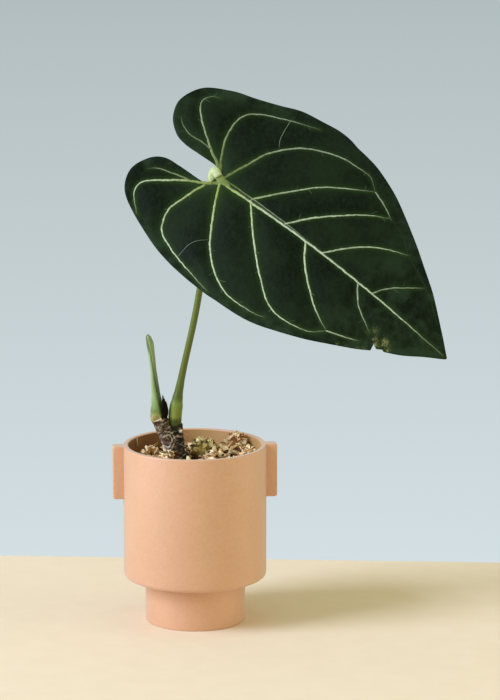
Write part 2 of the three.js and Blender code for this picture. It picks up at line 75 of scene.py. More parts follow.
# The mix, a gap inside the pot's wall, and its moss clumps: x, y, half width, half depth and height of each
GAP = 0.3
MIX_LEVEL = 143.5
MIX_RADIUS = BODY_RADIUS - WALL - GAP
MIX_RINGS = 80
MIX_SIDES = 200
MOSS_CLUMPS = [
    (10, 27, 15, 11, 16), (40, 31, 13, 12, 18), (46, -2, 9, 13, 8), (-39, 16, 11, 10, 8),
    (17, -1, 12, 9, 7), (-31, -22, 13, 11, 8), (5, -38, 15, 11, 8), (-19, 43, 11, 9, 7),
]
LOBE_COUNT = 9
BARK_COUNT = 260
FLAKE_COUNT = 330
LEFT_FLAKE_COUNT = 150
FOOT_FLAKE_COUNT = 75
FLAKE_THICKNESS = 0.32
FIBRE_COUNT = 46
BARE_SPOT = (-4, 2)
WALL_STRAND = (-49.4, 28.6, 151.5)

# Axes of the rhizome's two arms, the petiole and the new shoot, and their radii at some heights
SHOOT_ARM = [(-9, 8, 106), (-11, 7, 135), (-16, 6, 152), (-22.5, 6, 163), (-31, 7.1, 182)]
LEAF_ARM = [(-13, 7.5, 143), (-15, 9, 152), (-16.2, 9, 163), (-17.3, 8.5, 176.5)]
ARM_RADIUS = 7.2
RING_PITCH = 5.4
MELT_VOXEL = 0.55
ROOT_KNOBS = [
    ((-27, 4, 170), (-31, -3.5, 172.5), 2.6), ((-14, 6, 169), (-11, -0.8, 172), 2.9),
    ((-21, 3, 158), (-23.5, -5.5, 154), 2.4), ((-30.5, 5, 181.5), (-29.6, 0.4, 183), 2.3),
]
OLD_SCAR = (-24.6, -0.5, 162.8)
PALE_NUBS = [((-11, -0.5, 172.2), 3.4), ((-29.6, 0.6, 183), 2.4), ((-15, 1, 166.5), 1.5)]
PETIOLE_AXIS = [
    (-17.2, 8.2, 174.5), (-16.8, 7.8, 185), (-15.2, 7.8, 197), (-9.8, 8.8, 224.2), (0.6, 12.1, 269.4),
    (5.6, 13.7, 296), (12, 16.1, 340.3), (16.4, 17.6, 378), (17.8, 16.6, 394), (19.4, 12.6, 401.2),
    (22.6, 7.8, 397.4),
]
PETIOLE_RADII = [
    (174.5, 5.7), (185, 6), (193, 5.9), (199, 4.8), (207, 3.8), (218, 3.2), (235, 2.95), (374, 2.9),
    (385, 3.9), (396, 4.8),
]
GENICULUM_END = 3.4
SLIT_AT = 2.35
STALK_SIDES = 30
SHOOT_AXIS = [
    (-32.2, 7.4, 180), (-32.6, 7.4, 189), (-33.6, 7.2, 202), (-35.5, 6.8, 221), (-37.5, 6.2, 240),
    (-39.1, 5.7, 251.5), (-41.2, 5.2, 258.3),
]
SHOOT_RADII = [
    (180, 6.1), (184, 6.3), (189, 5.9), (197, 4.6), (207, 3.6), (217, 3.1), (227, 2.7), (240, 2.9),
    (250, 3.2), (255, 2.6), (258.3, 1.2),
]
SHOOT_GROOVE = [(186, 2.04), (193, 1.93), (204, 1.88), (221, 1.62), (238, 1.27), (258, 0.64)]
SHOOT_SIDES = 48
# The dried sheath's torn heights above its foot, at turns in degrees round the shoot
SHEATH_TURNS = [-66, -61, -55, -50, -45, -39, -33, -26, -18, -8, 4, 20, 38, 65]
SHEATH_TEARS = [8, 17, 23, 16, 22, 13, 19, 11, 16, 9, 13, 6, 9, 4]
SHEATH_FOOT = 182.5
SHEATH_RADIUS = 7.4
SHEATH_THICKNESS = 0.8

# The blade: its junction with the petiole, its turn there in degrees, and its surface
BLADE_JUNCTION = (23.3, 6.2, 395.4)
BLADE_TURN = (52.45, 33.65, -27.56)
BLADE_STEP = 1.5
BLADE_THICKNESS = 0.8
BLADE_LENGTH = 266
BLADE_ARCH = 16
LOBE_DROOP = 8
LOBE_LENGTH = 80
SIDE_DROOP = 9
SIDE_REACH = 100
QUILT_HEIGHT = 1.8
QUILT_SPREAD = 9
JUNCTION_REACH = 42

# Blade outline and veins in blade coordinates: x along the midrib to the tip, y across
UPPER_EDGE = [
    (-4, 4.5), (-12, 8.2), (-30, 7.2), (-46, 6.8), (-59, 10.1), (-72.6, 21.5), (-78.5, 39), (-70, 60.3),
    (-48, 74), (-28, 81.3), (-5, 90.6), (12, 97), (30, 99.7), (50, 101.7), (64, 101), (75, 98.5), (87, 96.8),
    (100, 94.3), (115, 89.2), (132, 82), (150, 72.2), (172, 59.3), (190, 47.8), (210, 35), (226, 22.7),
    (240, 11.4), (256, -1.7),
]
LOWER_EDGE_START = [
    (-5, -8), (-12, -10.7), (-35, -12), (-52, -14.3), (-63.3, -24), (-68.4, -41), (-60, -58.7), (-38, -71),
    (0, -84), (35, -89.5), (75, -90), (110, -86), (150, -71), (185, -52.5), (203, -41),
]
LOWER_EDGE_NOTCH = [(201.5, -34.8), (206, -37), (210, -34)]
LOWER_EDGE_END = [(212.5, -34.6), (226, -26.7), (242, -14), (256, -3.3)]
# Each vein has its width where it starts, how pale it is, and its points
MIDRIB = (9, 0.05, [(-3, -1), (60, 0.5), (130, -0.5), (200, -1.5), (250, -2.5)])
# The midrib's two pale lines are painted light: a bright painted highlight along its lower flank and a dimmer
# one along its upper flank
MIDRIB_LIGHT_LINES = [
    (4.4, 1.0, [(0, -1.8), (40, -1.5), (75, -1.1), (110, -0.8), (130, -0.9), (200, -1.6), (252, -2.6)]),
    (2.0, 0.42, [(4, 2.2), (35, 2.1), (70, 1.6), (104, 0.1)]),
]
VEINS = [
    (4, 0.55, [(0, 2), (-12, 10.5), (-25, 17.5), (-50, 34.5), (-62, 47), (-60, 57), (-52, 62)]),
    (3, 0.3, [(-25, 17.5), (-36, 18.2), (-48, 17), (-60, 20.5), (-67, 26)]),
    (3.6, 0.5, [(-2, 3), (-14, 19), (-24, 40), (-25, 60), (-13, 73), (10, 83), (37, 92.5)]),
    (4, 0.5, [(1, 0), (10, 25), (18, 46), (38, 68), (67, 81), (88, 83.5), (102, 83), (113, 75)]),
    (3.6, 0.72, [(35, 1), (60, 31), (80, 51.5), (114, 74.5)]),
    (3.6, 0.8, [(73, 0), (90, 21.5), (120, 50), (140, 63)]),
    (3.4, 0.75, [(116, 0), (132, 19.5), (150, 35), (174, 47)]),
    (2.6, 0.5, [(172, -1), (181, 13), (203, 33)]),
    (2.8, 0.4, [(114, 74.5), (127, 70), (142, 62.5)]),
    (1.4, 0, [(140, 64), (160, 57), (174, 47), (206, 32.5), (232, 15)]),
    (6, 0.75, [(5, -1), (-2.7, -7), (-8, -12)]),
    (4, 0.9, [(-2.7, -7), (-12, -12.8), (-23, -18.9), (-39, -31.2), (-52, -43), (-52, -55), (-37, -69)]),
    (3, 0.42, [(-19, -16.2), (-30, -18.8), (-41, -22.3), (-50, -25.4), (-57, -31)]),
    (3.6, 0.95, [
        (-7, -11.5), (-10.5, -21), (-14, -34), (-17.3, -48), (-13.7, -61), (-5.8, -70), (18, -79),
        (60, -88)]),
    (4, 1.0, [(2, -2), (17, -29), (40, -60), (70, -78.5), (100, -79.5), (114, -76)]),
    (3.6, 1.0, [(35, 0), (60, -26), (90, -52), (116, -67), (148, -63.5), (163, -52)]),
    (3.6, 1.0, [(98, -1), (112, -19), (140, -41), (163, -52)]),
    (2.8, 0.6, [(163, -52), (180, -45.5), (190, -41)]),
    (2.8, 0.55, [(156, -1), (170, -17), (192, -29)]),
]
JUNCTION_KNOB = (10, 0.85, [(-4, 2), (0, 0.8), (6, -0.4), (15, -1.4)])
FINE_VEINS = [
    (1.6, 0.4, [(11, 83), (16, 64), (22, 54)]),
    (1.6, 0.3, [(18, -79), (20, -62), (30, -50)]),
]
SPUR_WIDTH = 1.3
# How pale the veins are beneath, at the least
UNDERSIDE_SHARE = 0.5
# Where the margin was bitten or dried, and how far each hurt spreads
BITES = [
    ((195, -25), 4.5), ((208, -28), 6.5), ((204, -34), 5.5), ((200, -31), 4.5), ((191, -30), 3),
    ((119, -84), 2), ((178, -55), 2.4), ((193, -47), 3), ((214, -31), 4.5), ((184, -51), 2.5),
    ((199, -43), 3),
]

# Camera, from the photograph's rim, shoulder and foot: place, tilt and turn, and lens for a 36 mm sensor
CAMERA_PLACE = (-168, -2758.6, 812.1)
CAMERA_TILT = 78.4
CAMERA_TURN = -4.5
CAMERA_LENS = 164.57
# The table's turn in degrees and its size, and the backdrop's colours below and above
TABLE_TURN = -7.5
TABLE_REACH = 1500
TABLE_BACK = 200
TABLE_DEPTH = 40
BACKDROP_LOW = (0.66, 0.745, 0.775)
BACKDROP_HIGH = (0.442, 0.51, 0.515)


def lerp(a, b, t):
    return a + (b - a) * t


def smoothstep(low, high, value):
    t = np.clip((value - low) / (high - low), 0, 1)
    return t * t * (3 - 2 * t)


def bell(distance, width, power=2):
    """1 at no distance, falling off to 0 past the width."""
    return np.exp(-(distance / width) ** power)


def lengths(vectors):
    return np.linalg.norm(vectors, axis=-1)


def unit(vectors):
    return vectors / lengths(vectors)[..., None]


def profile_value(pairs, position):
    """Reads a value off (position, value) pairs, easing from one pair to the next."""
    for (p0, v0), (p1, v1) in zip(pairs, pairs[1:]):
        if position <= p1:
            return lerp(v0, v1, float(smoothstep(p0, p1, position)))
    return pairs[-1][1]


def smooth_curve(points, step, centripetal=False):
    """Points about one step apart along a Catmull-Rom curve through the given ones."""
    pts = np.array(points, float)
    first, last = (2 * pts[0] - pts[1], 2 * pts[-1] - pts[-2]) if centripetal else (pts[0], pts[-1])
    ext = np.vstack([first, pts, last])
    gaps = [lengths(b - a) ** 0.5 if centripetal else 1 for a, b in zip(ext, ext[1:])]
    u = np.linspace(0, 1, 40, endpoint=False)[:, None]
    dense = []
    for i in range(1, len(pts)):
        p0, p1, p2, p3 = ext[i - 1:i + 3]
        d0, d1, d2 = gaps[i - 1:i + 2]
        t1 = ((p1 - p0) / d0 - (p2 - p0) / (d0 + d1) + (p2 - p1) / d1) * d1
        t2 = ((p2 - p1) / d1 - (p3 - p1) / (d1 + d2) + (p3 - p2) / d2) * d1
        dense.append((((2 * p1 - 2 * p2 + t1 + t2) * u + 3 * p2 - 3 * p1 - 2 * t1 - t2) * u + t1) * u + p1)
    dense = np.vstack([*dense, pts[-1]])
    reach = np.r_[0, np.cumsum(lengths(np.diff(dense, axis=0)))]
    wanted = np.linspace(0, reach[-1], max(2, round(reach[-1] / step)) + 1)
    return np.stack([np.interp(wanted, reach, values) for values in dense.T], axis=1)


def waver(points, scale, shift=(0, 0, 0)):
    """Smooth noise from -1 to 1 at each point."""
    return np.array([noise.noise(Vector(p) * scale + Vector(shift)) for p in points])


# Meshes

def mesh_object(name, points, faces, materials, slots=None):
    """A smooth-shaded mesh object from millimetre points."""
    mesh = bpy.data.meshes.new(name)
    mesh.from_pydata((np.asarray(points, float) * MM).tolist(), [], [list(f) for f in faces])
    for material in materials:
        mesh.materials.append(material)
    if slots is not None:
        mesh.polygons.foreach_set("material_index", np.asarray(slots, np.int32))
    mesh.polygons.foreach_set("use_smooth", np.ones(len(mesh.polygons), bool))
    mesh.update()
    thing = bpy.data.objects.new(name, mesh)
    bpy.context.scene.collection.objects.link(thing)
    return thing


def add_numbers(thing, **numbers):
    """Stores named numbers for each vertex, for the material to read."""
    for name, values in numbers.items():
        attribute = thing.data.attributes.new(name, "FLOAT", "POINT")
        attribute.data.foreach_set("value", np.asarray(values, np.float32))


def settle(thing, slot, *nodes):
    """Makes a finished piece part of the object."""
    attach(thing, "root")
    if nodes:
        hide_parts(*nodes)


def apply_modifiers(thing):
    bpy.context.view_layer.update()
    mesh = bpy.data.meshes.new_from_object(thing.evaluated_get(bpy.context.evaluated_depsgraph_get()))
    thing.modifiers.clear()
    thing.data = mesh
    return mesh


def tube_faces(rings, sides, inward=False, capped=True):
    """Faces of a tube whose points go round it ring by ring, with its two ends."""
    faces = []
    for i in range(rings - 1):
        for k in range(sides):
            a, b = i * sides + k, i * sides + (k + 1) % sides
            faces.append((a, b, b + sides, a + sides))
    if capped:
        faces += [tuple(range(sides))[::-1], tuple(range((rings - 1) * sides, rings * sides))]
    return [f[:1] + f[:0:-1] for f in faces] if inward else faces


def tipped_body(rings, low_tip, high_tip):
    """Points and faces of a round body from rings of points, low to high, between two tips."""
    sides = len(rings[0])
    points = [p for ring in rings for p in ring] + [low_tip, high_tip]
    faces = tube_faces(len(rings), sides, capped=False)
    tip = len(points) - 2
    for k in range(sides):
        n = (k + 1) % sides
        faces += [(tip, n, k), (tip + 1, tip - sides + k, tip - sides + n)]
    return points, faces


def sheet_faces(columns, rows):
    """Faces of a thin sheet whose points are its front's columns by rows, then its back's."""
    per = (columns + 1) * (rows + 1)
    faces = []
    for i in range(columns):
        for j in range(rows):
            a = i * (rows + 1) + j
            b = a + rows + 1
            faces += [(a, b, b + 1, a + 1), (per + a, per + a + 1, per + b + 1, per + b)]
    rim = list(range(rows + 1))
    rim += [(rows + 1) * i + rows for i in range(1, columns + 1)]
    rim += [(rows + 1) * columns + j for j in range(rows - 1, -1, -1)]
    rim += [(rows + 1) * i for i in range(columns - 1, 0, -1)]
    return faces + [(a, b, per + b, per + a) for a, b in zip(rim, rim[1:] + rim[:1])]


def swept(axis, radius_at, sides):
    """Points, faces and angles of a bar along an axis. radius_at(i, angle) gives millimetres."""
    tangents = unit(np.gradient(axis, axis=0))
    normal = np.cross(tangents[0], (0.0, 1.0, 0.0))
    angles = np.linspace(0, tau, sides, endpoint=False)
    points = []
    for i, tangent in enumerate(tangents):
        normal = unit(normal - tangent * (normal @ tangent))
        other = np.cross(tangent, normal)
        points += [axis[i] + (normal * cos(a) + other * sin(a)) * radius_at(i, a) for a in angles]
    return np.array(points), tube_faces(len(axis), sides), np.tile(angles, len(axis))


class Nodes:
    """The shader nodes of one material or world, and its colour so far."""

    def __init__(self, name, kind="materials"):
        self.made = getattr(bpy.data, kind).new(name)
        self.made.use_nodes = True
        self.tree = self.made.node_tree
        self.colour = None

    def give(self, node, inputs):
        """Sets each input, or links it where its value is another node's output."""
        for name, value in inputs.items():
            if isinstance(value, bpy.types.NodeSocket):
                self.tree.links.new(value, node.inputs[name])
            else:
                node.inputs[name].default_value = value

    def node(self, kind, inputs, **settings):
        made = self.tree.nodes.new("ShaderNode" + kind)
        for key, value in settings.items():
            setattr(made, key, value)
        self.give(made, inputs)
        return made

    def place(self, kind="Object"):
        return self.node("TexCoord", {}).outputs[kind]

    def axis(self, name, kind="Object"):
        return self.node("SeparateXYZ", {0: self.place(kind)}).outputs[name]

    def number(self, name):
        return self.node("Attribute", {}, attribute_name=name).outputs["Fac"]

    def noise(self, scale, detail=4, roughness=0.55, stretch=(1, 1, 1)):
        place = self.node("Mapping", {"Vector": self.place(), "Scale": stretch}).outputs["Vector"]
        return self.node("TexNoise", {
            "Vector": place, "Scale": scale, "Detail": detail, "Roughness": roughness}).outputs["Fac"]

    def cells(self, scale, feature="F1"):
        made = self.node("TexVoronoi", {"Vector": self.place(), "Scale": scale}, feature=feature)
        return made.outputs["Distance"]

    def math(self, operation, a, b):
        return self.node("Math", {0: a, 1: b}, operation=operation).outputs[0]

    def times(self, a, b):
        return self.math("MULTIPLY", a, b)

    def plus(self, a, b):
        return self.math("ADD", a, b)

    def range(self, value, low, high, to_low=0.0, to_high=1.0, kind="SMOOTHSTEP"):
        return self.node("MapRange", {
            "Value": value, "From Min": low, "From Max": high, "To Min": to_low, "To Max": to_high,
        }, interpolation_type=kind).outputs["Result"]

    def ramp(self, value, stops):
        made = self.node("ValToRGB", {"Fac": value})
        elements = made.color_ramp.elements
        while len(elements) < len(stops):
            elements.new(0.5)
        for element, (position, colour) in zip(elements, stops):
            element.position = position
            element.color = (*colour, 1)
        return made.outputs["Color"]

    def mix(self, share, a, b):
        a, b = ((*c, 1) if isinstance(c, tuple) else c for c in (a, b))
        return self.node("Mix", {"Factor": share, "A": a, "B": b}, data_type="RGBA").outputs["Result"]

    def over(self, colour, share, *shares):
        """Lays a colour over the one so far, by the product of the shares."""
        for other in shares:
            share = self.times(share, other)
        self.colour = self.mix(share, self.colour, colour)

    def finish(self, roughness, bumps, **constants):
        """Fills in the shader. Bumps are (height, strength, distance in millimetres)."""
        normal = {}
        for height, strength, distance in bumps:
            bump = self.node("Bump", {
                "Height": height, "Strength": strength, "Distance": distance * MM, **normal})
            normal = {"Normal": bump.outputs["Normal"]}
        constants = {name.replace("_", " "): value for name, value in constants.items()}
        self.give(self.tree.nodes["Principled BSDF"], {
            "Base Color": self.colour, "Roughness": roughness, **normal, **constants})
        return self.made


# Materials

def ceramic_material():
    """Matt clay with fine grain, faint blotches and a few darker specks."""
    m = Nodes("matte_ceramic")
    grain = m.noise(900, 3, 0.7)
    m.colour = m.ramp(m.noise(14, 3), [(0.3, (0.602, 0.302, 0.145)), (0.7, (0.652, 0.339, 0.171))])
    m.over((0.78, 0.51, 0.32), m.range(m.noise(420, 2), 0.35, 0.65, 0, 0.12))
    m.over((0.38, 0.2, 0.13), m.range(m.cells(260), 0.06, 0.13, 0.4, 0), m.range(m.noise(70, 2), 0.58, 0.68))
    return m.finish(m.range(grain, 0.3, 0.7, 0.45, 0.62), [(grain, 0.35, 0.12), (m.noise(60, 3), 0.2, 0.4)],
                    Specular_IOR_Level=0.85, Coat_Weight=0.6, Coat_Roughness=0.5,
                    Sheen_Weight=0.35, Sheen_Roughness=0.45, Sheen_Tint=(0.6, 0.9, 1, 1))


def lining_material():
    """The pot's inner wall: deeper orange clay, with painted shade that darkens it to brown towards its left
    side.
    """
    m = Nodes("pot_lining")
    blotch = m.noise(30, 4)
    grain = m.noise(900, 3, 0.7)
    # Painted shade: the inner wall darkens towards its left side, where the rim shades it from the light
    painted_shade = m.range(m.axis("X"), (SHADE_EDGE - BODY_RADIUS) * MM, SHADE_EDGE * MM, 0.95, 0.08)
    m.colour = m.mix(m.range(grain, 0.35, 0.65, 0, 0.15), (0.53, 0.3, 0.11), (0.68, 0.43, 0.21))
    m.over((0.15, 0.045, 0.009), painted_shade, m.range(blotch, 0.35, 0.6, 0.8, 1))
    return m.finish(0.7, [(grain, 0.35, 0.12), (blotch, 0.2, 0.4)], Specular_IOR_Level=0.2)


def blade_net(m, strength, width=0.09):
    """The fine net of the smallest veins."""
    return m.range(m.cells(210, "DISTANCE_TO_EDGE"), 0, width, strength, 0)


def blade_damage(m):
    """Dry tan patches, dark specks and flecks where the lower margin was bitten."""
    ragged = m.plus(m.noise(420, 5, 0.8), m.noise(1300, 3, 0.7))
    torn = m.plus(m.number("damage"), m.times(m.math("SUBTRACT", ragged, 1), 17))
    m.over((0.05, 0.065, 0.016), m.range(torn, 1.0, 3.2, 0, 0.8))
    m.over((0.31, 0.31, 0.13), m.range(torn, 4.1, 6.2, 0, 0.8))
    m.over((0.03, 0.028, 0.01), m.range(m.noise(900, 4, 0.8), 0.5, 0.6, 0, 0.75), m.range(torn, 2.0, 3.5))


def velvet_material():
    """The blade's upper face: near black green, greener by the veins, paler by its margin with painted sheen
    and hazier towards its tip.
    """
    m = Nodes("velvet_leaf_top")
    clouds = m.noise(22, 4)
    spots = m.noise(90, 3)
    m.colour = m.mix(m.range(clouds, 0.35, 0.65), (0.0042, 0.0075, 0.003), (0.0085, 0.0165, 0.0055))
    m.over((0.012, 0.025, 0.009), blade_net(m, 0.25))
    m.over((0.015, 0.029, 0.011), m.range(m.noise(260, 3, 0.6, (1, 1, 0.25)), 0.42, 0.7, 0, 0.25))
    m.over((0.02, 0.047, 0.006), m.number("vein_glow"), 0.8)
    # Painted sheen lightens the margin; a paler green haze also spreads towards the tip
    m.over((0.028, 0.052, 0.024), m.number("edge_sheen_and_tip_haze"), m.range(m.plus(clouds, spots), 0.85, 1.2, 0, 0.5))
    blade_damage(m)
    relief = m.plus(m.noise(700, 4, 0.7), blade_net(m, -0.6))
    return m.finish(m.range(clouds, 0.3, 0.7, 0.5, 0.65), [(relief, 0.4, 0.15), (spots, 0.3, 0.6)],
                    Specular_IOR_Level=0.05,
                    Sheen_Weight=0.02, Sheen_Roughness=0.4, Sheen_Tint=(0.5, 0.8, 0.4, 1))


def underside_material():
    m = Nodes("leaf_underside")
    m.colour = m.mix(m.range(m.noise(30, 4), 0.3, 0.7), (0.075, 0.125, 0.045), (0.105, 0.165, 0.062))
    m.over((0.17, 0.24, 0.095), blade_net(m, 0.4, 0.1))
    m.over((0.2, 0.27, 0.11), m.number("vein_glow"), 0.5)
    blade_damage(m)
    return m.finish(0.6, [(blade_net(m, 1, 0.1), 0.35, 0.2), (m.noise(500, 3), 0.25, 0.1)])


def vein_material():
    """Pale veins, yellower by the junction, that sink to the ridge's green where they're faint."""
    m = Nodes("leaf_vein")
    streak = m.noise(500, 3)
    pale = m.mix(m.range(streak, 0.3, 0.7), (0.36, 0.44, 0.25), (0.5, 0.57, 0.39))
    pale = m.mix(m.number("vein_yellow"), pale, (0.30, 0.37, 0.075))
    m.colour = m.mix(m.number("vein_pale"), (0.009, 0.021, 0.005), pale)
    return m.finish(0.55, [(streak, 0.3, 0.15)], Specular_IOR_Level=0.2)


def stalk_material(name, stops):
    """A green stem: colours by height in millimetres, fine lengthwise streaks and pale flecks."""
    m = Nodes(name)
    low, high = stops[0][0], stops[-1][0]
    share = m.range(m.number("height"), low, high, kind="LINEAR")
    streaks = m.noise(330, 3, 0.6, (1, 1, 0.08))
    m.colour = m.ramp(share, [((z - low) / (high - low), c) for z, c in stops])
    m.over((0.07, 0.1, 0.018), m.range(streaks, 0.35, 0.7, 0, 0.3))
    m.over((0.45, 0.5, 0.25), m.range(m.cells(420), 0.05, 0.14, 0.2, 0))
    return m, streaks


def petiole_material():
    m, streaks = stalk_material("petiole_skin", [
        (174, (0.04, 0.055, 0.01)), (181, (0.08, 0.11, 0.018)), (184, (0.25, 0.31, 0.05)),
        (195, (0.205, 0.275, 0.038)), (201, (0.08, 0.108, 0.011)), (215, (0.108, 0.134, 0.015)),
        (300, (0.13, 0.157, 0.02)), (372, (0.12, 0.16, 0.03)), (382, (0.3, 0.37, 0.1)),
        (394, (0.56, 0.63, 0.3))])
    # Painted shade in the slit at the stalk's foot
    m.over((0.03, 0.045, 0.008), m.number("groove"))
    return m.finish(0.42, [(streaks, 0.3, 0.2), (m.noise(600, 3), 0.2, 0.1)], Specular_IOR_Level=0.3)


def shoot_material():
    m, streaks = stalk_material("shoot_skin", [
        (180, (0.3, 0.26, 0.07)), (186, (0.3, 0.3, 0.08)), (190, (0.15, 0.21, 0.04)),
        (200, (0.14, 0.22, 0.055)), (225, (0.19, 0.27, 0.09)), (248, (0.32, 0.43, 0.18)),
        (258, (0.26, 0.35, 0.14))])
    # Painted light: a patchy painted highlight on the shoot's lit flank, and painted shade on its other flank
    patches = m.range(m.noise(150, 3, 0.5, (1, 1, 0.3)), 0.3, 0.6, 0.5, 1)
    m.over((0.29, 0.41, 0.16), m.number("pale_side"), patches)
    m.over((0.018, 0.038, 0.006), m.number("shade_side"))
    # Painted shade in the groove of the rolled leaf
    m.over((0.012, 0.026, 0.005), m.number("groove"))
    band = m.range(m.plus(m.number("height"), m.times(m.noise(260, 3), 6)), 187.5, 190, 1, 0)
    m.over(m.mix(m.range(m.noise(420, 3), 0.4, 0.6), (0.22, 0.16, 0.04), (0.4, 0.38, 0.13)), band)
    return m.finish(0.36, [(streaks, 0.35, 0.2), (m.noise(600, 3), 0.2, 0.1)])


def rhizome_material():
    """Dark ringed stem bark: brown on one arm, green black on the other, with pale scars and nubs."""
    m = Nodes("rhizome_bark")
    dark = m.number("dark_arm")
    clouds = m.noise(210, 6, 0.72)
    streaks = m.noise(520, 5, 0.75, (0.35, 0.35, 1.6))
    m.colour = m.ramp(clouds, [
        (0.36, (0.014, 0.006, 0.002)), (0.5, (0.07, 0.036, 0.017)), (0.68, (0.25, 0.165, 0.09))])
    m.over(m.ramp(clouds, [
        (0.36, (0.006, 0.005, 0.002)), (0.55, (0.02, 0.018, 0.006)), (0.72, (0.11, 0.10, 0.05))]), dark)
    m.over(m.mix(dark, (0.42, 0.34, 0.22), (0.14, 0.125, 0.065)), m.range(streaks, 0.58, 0.67, 0, 0.55))
    m.over((0.78, 0.7, 0.52), m.number("scar"))
    m.over((0.10, 0.038, 0.028), m.number("hollow"))
    m.over((0.66, 0.5, 0.3), m.number("nub"))
    return m.finish(0.7, [(clouds, 0.6, 0.8), (streaks, 0.6, 0.5)], Specular_IOR_Level=0.2)


def dry_sheath_material():
    m = Nodes("dry_sheath")
    fibres = m.noise(420, 4, 0.6, (1, 1, 0.1))
    m.colour = m.ramp(fibres, [
        (0.35, (0.003, 0.003, 0.001)), (0.6, (0.01, 0.007, 0.003)), (0.85, (0.05, 0.034, 0.014))])
    return m.finish(0.8, [(fibres, 0.6, 0.4)], Specular_IOR_Level=0.1)


def litter_material(name, dark, middle, pale):
    """Dry plant matter: three colours picked by each bit's own tone, with fibre."""
    m = Nodes(name)
    fibres = m.noise(450, 4, 0.65, (1, 1, 0.5))
    m.colour = m.ramp(m.number("tone"), [(0.05, dark), (0.45, middle), (0.85, pale)])
    m.over(dark, m.range(fibres, 0.5, 0.75, 0, 0.5))
    return m.finish(0.8, [(fibres, 0.5, 0.3)], Specular_IOR_Level=0.12)


def ground_material():
    m = Nodes("mix_crumb")
    crumbs = m.noise(260, 6, 0.7)
    m.colour = m.ramp(crumbs, [
        (0.3, (0.008, 0.004, 0.002)), (0.55, (0.045, 0.019, 0.008)), (0.8, (0.2, 0.1, 0.045))])
    return m.finish(0.9, [(crumbs, 0.8, 1.2)], Specular_IOR_Level=0.1)


def floor_material():
    m = Nodes("pale_floor")
    m.colour = m.mix(m.range(m.noise(40, 3), 0.3, 0.7), (0.81, 0.665, 0.455), (0.83, 0.685, 0.475))
    return m.finish(0.8, [(m.noise(500, 2), 0.05, 0.1)])


# Pot

def round_corner(x, z, radius, start, end, steps):
    turns = [radians(lerp(start, end, i / steps)) for i in range(steps + 1)]
    return [(x + radius * cos(a), z + radius * sin(a)) for a in turns]


def turned(name, profile, sides, material):
    """A lathe mesh about the vertical axis from (radius, height) pairs that start and end on the axis."""
    angles = [tau * k / sides for k in range(sides)]
    rings = [[(radius * cos(a), radius * sin(a), height) for a in angles] for radius, height in profile[1:-1]]
    points, faces = tipped_body(rings, (0, 0, profile[0][1]), (0, 0, profile[-1][1]))
    return mesh_object(name, points, faces, [material])


def tab_object(side, material):
    """One flat tab with softly rounded edges, rooted in the wall and level with the rim."""
    root = BODY_RADIUS - WALL / 2
    low = POT_HEIGHT - TAB_HEIGHT
    corner_x, corner_z = TAB_REACH - TAB_CORNER, POT_HEIGHT - TAB_CORNER
    outline = [
        (root, low), *round_corner(corner_x, low + TAB_CORNER, TAB_CORNER, -90, 0, 6),
        *round_corner(corner_x, corner_z, TAB_CORNER, 0, 90, 6), (root, POT_HEIGHT)]
    layers = [(TAB_WIDTH / 2 - TAB_SOFTNESS * (1 - sin(a)), TAB_SOFTNESS * (1 - cos(a)))
              for a in np.linspace(0, pi / 2, 5)]
    layers = [(-y, inset) for y, inset in reversed(layers)] + layers
    centre = np.array(((root + TAB_REACH) / 2, (low + POT_HEIGHT) / 2))
    half = np.array(((TAB_REACH - root) / 2, TAB_HEIGHT / 2))
    points = []
    for y, inset in layers:
        for x, z in centre + (np.array(outline) - centre) * (1 - inset / half):
            points.append((side * x, side * y, z))
    return mesh_object(f"tab_{side}", points, tube_faces(len(layers), len(outline), inward=True), [material])


def combine(target, tool, operation):
    """Joins or cuts with a boolean, and removes the tool."""
    modifier = target.modifiers.new("combine", "BOOLEAN")
    modifier.operation = operation
    modifier.object = tool
    modifier.solver = "EXACT"
    apply_modifiers(target)
    bpy.data.objects.remove(tool)


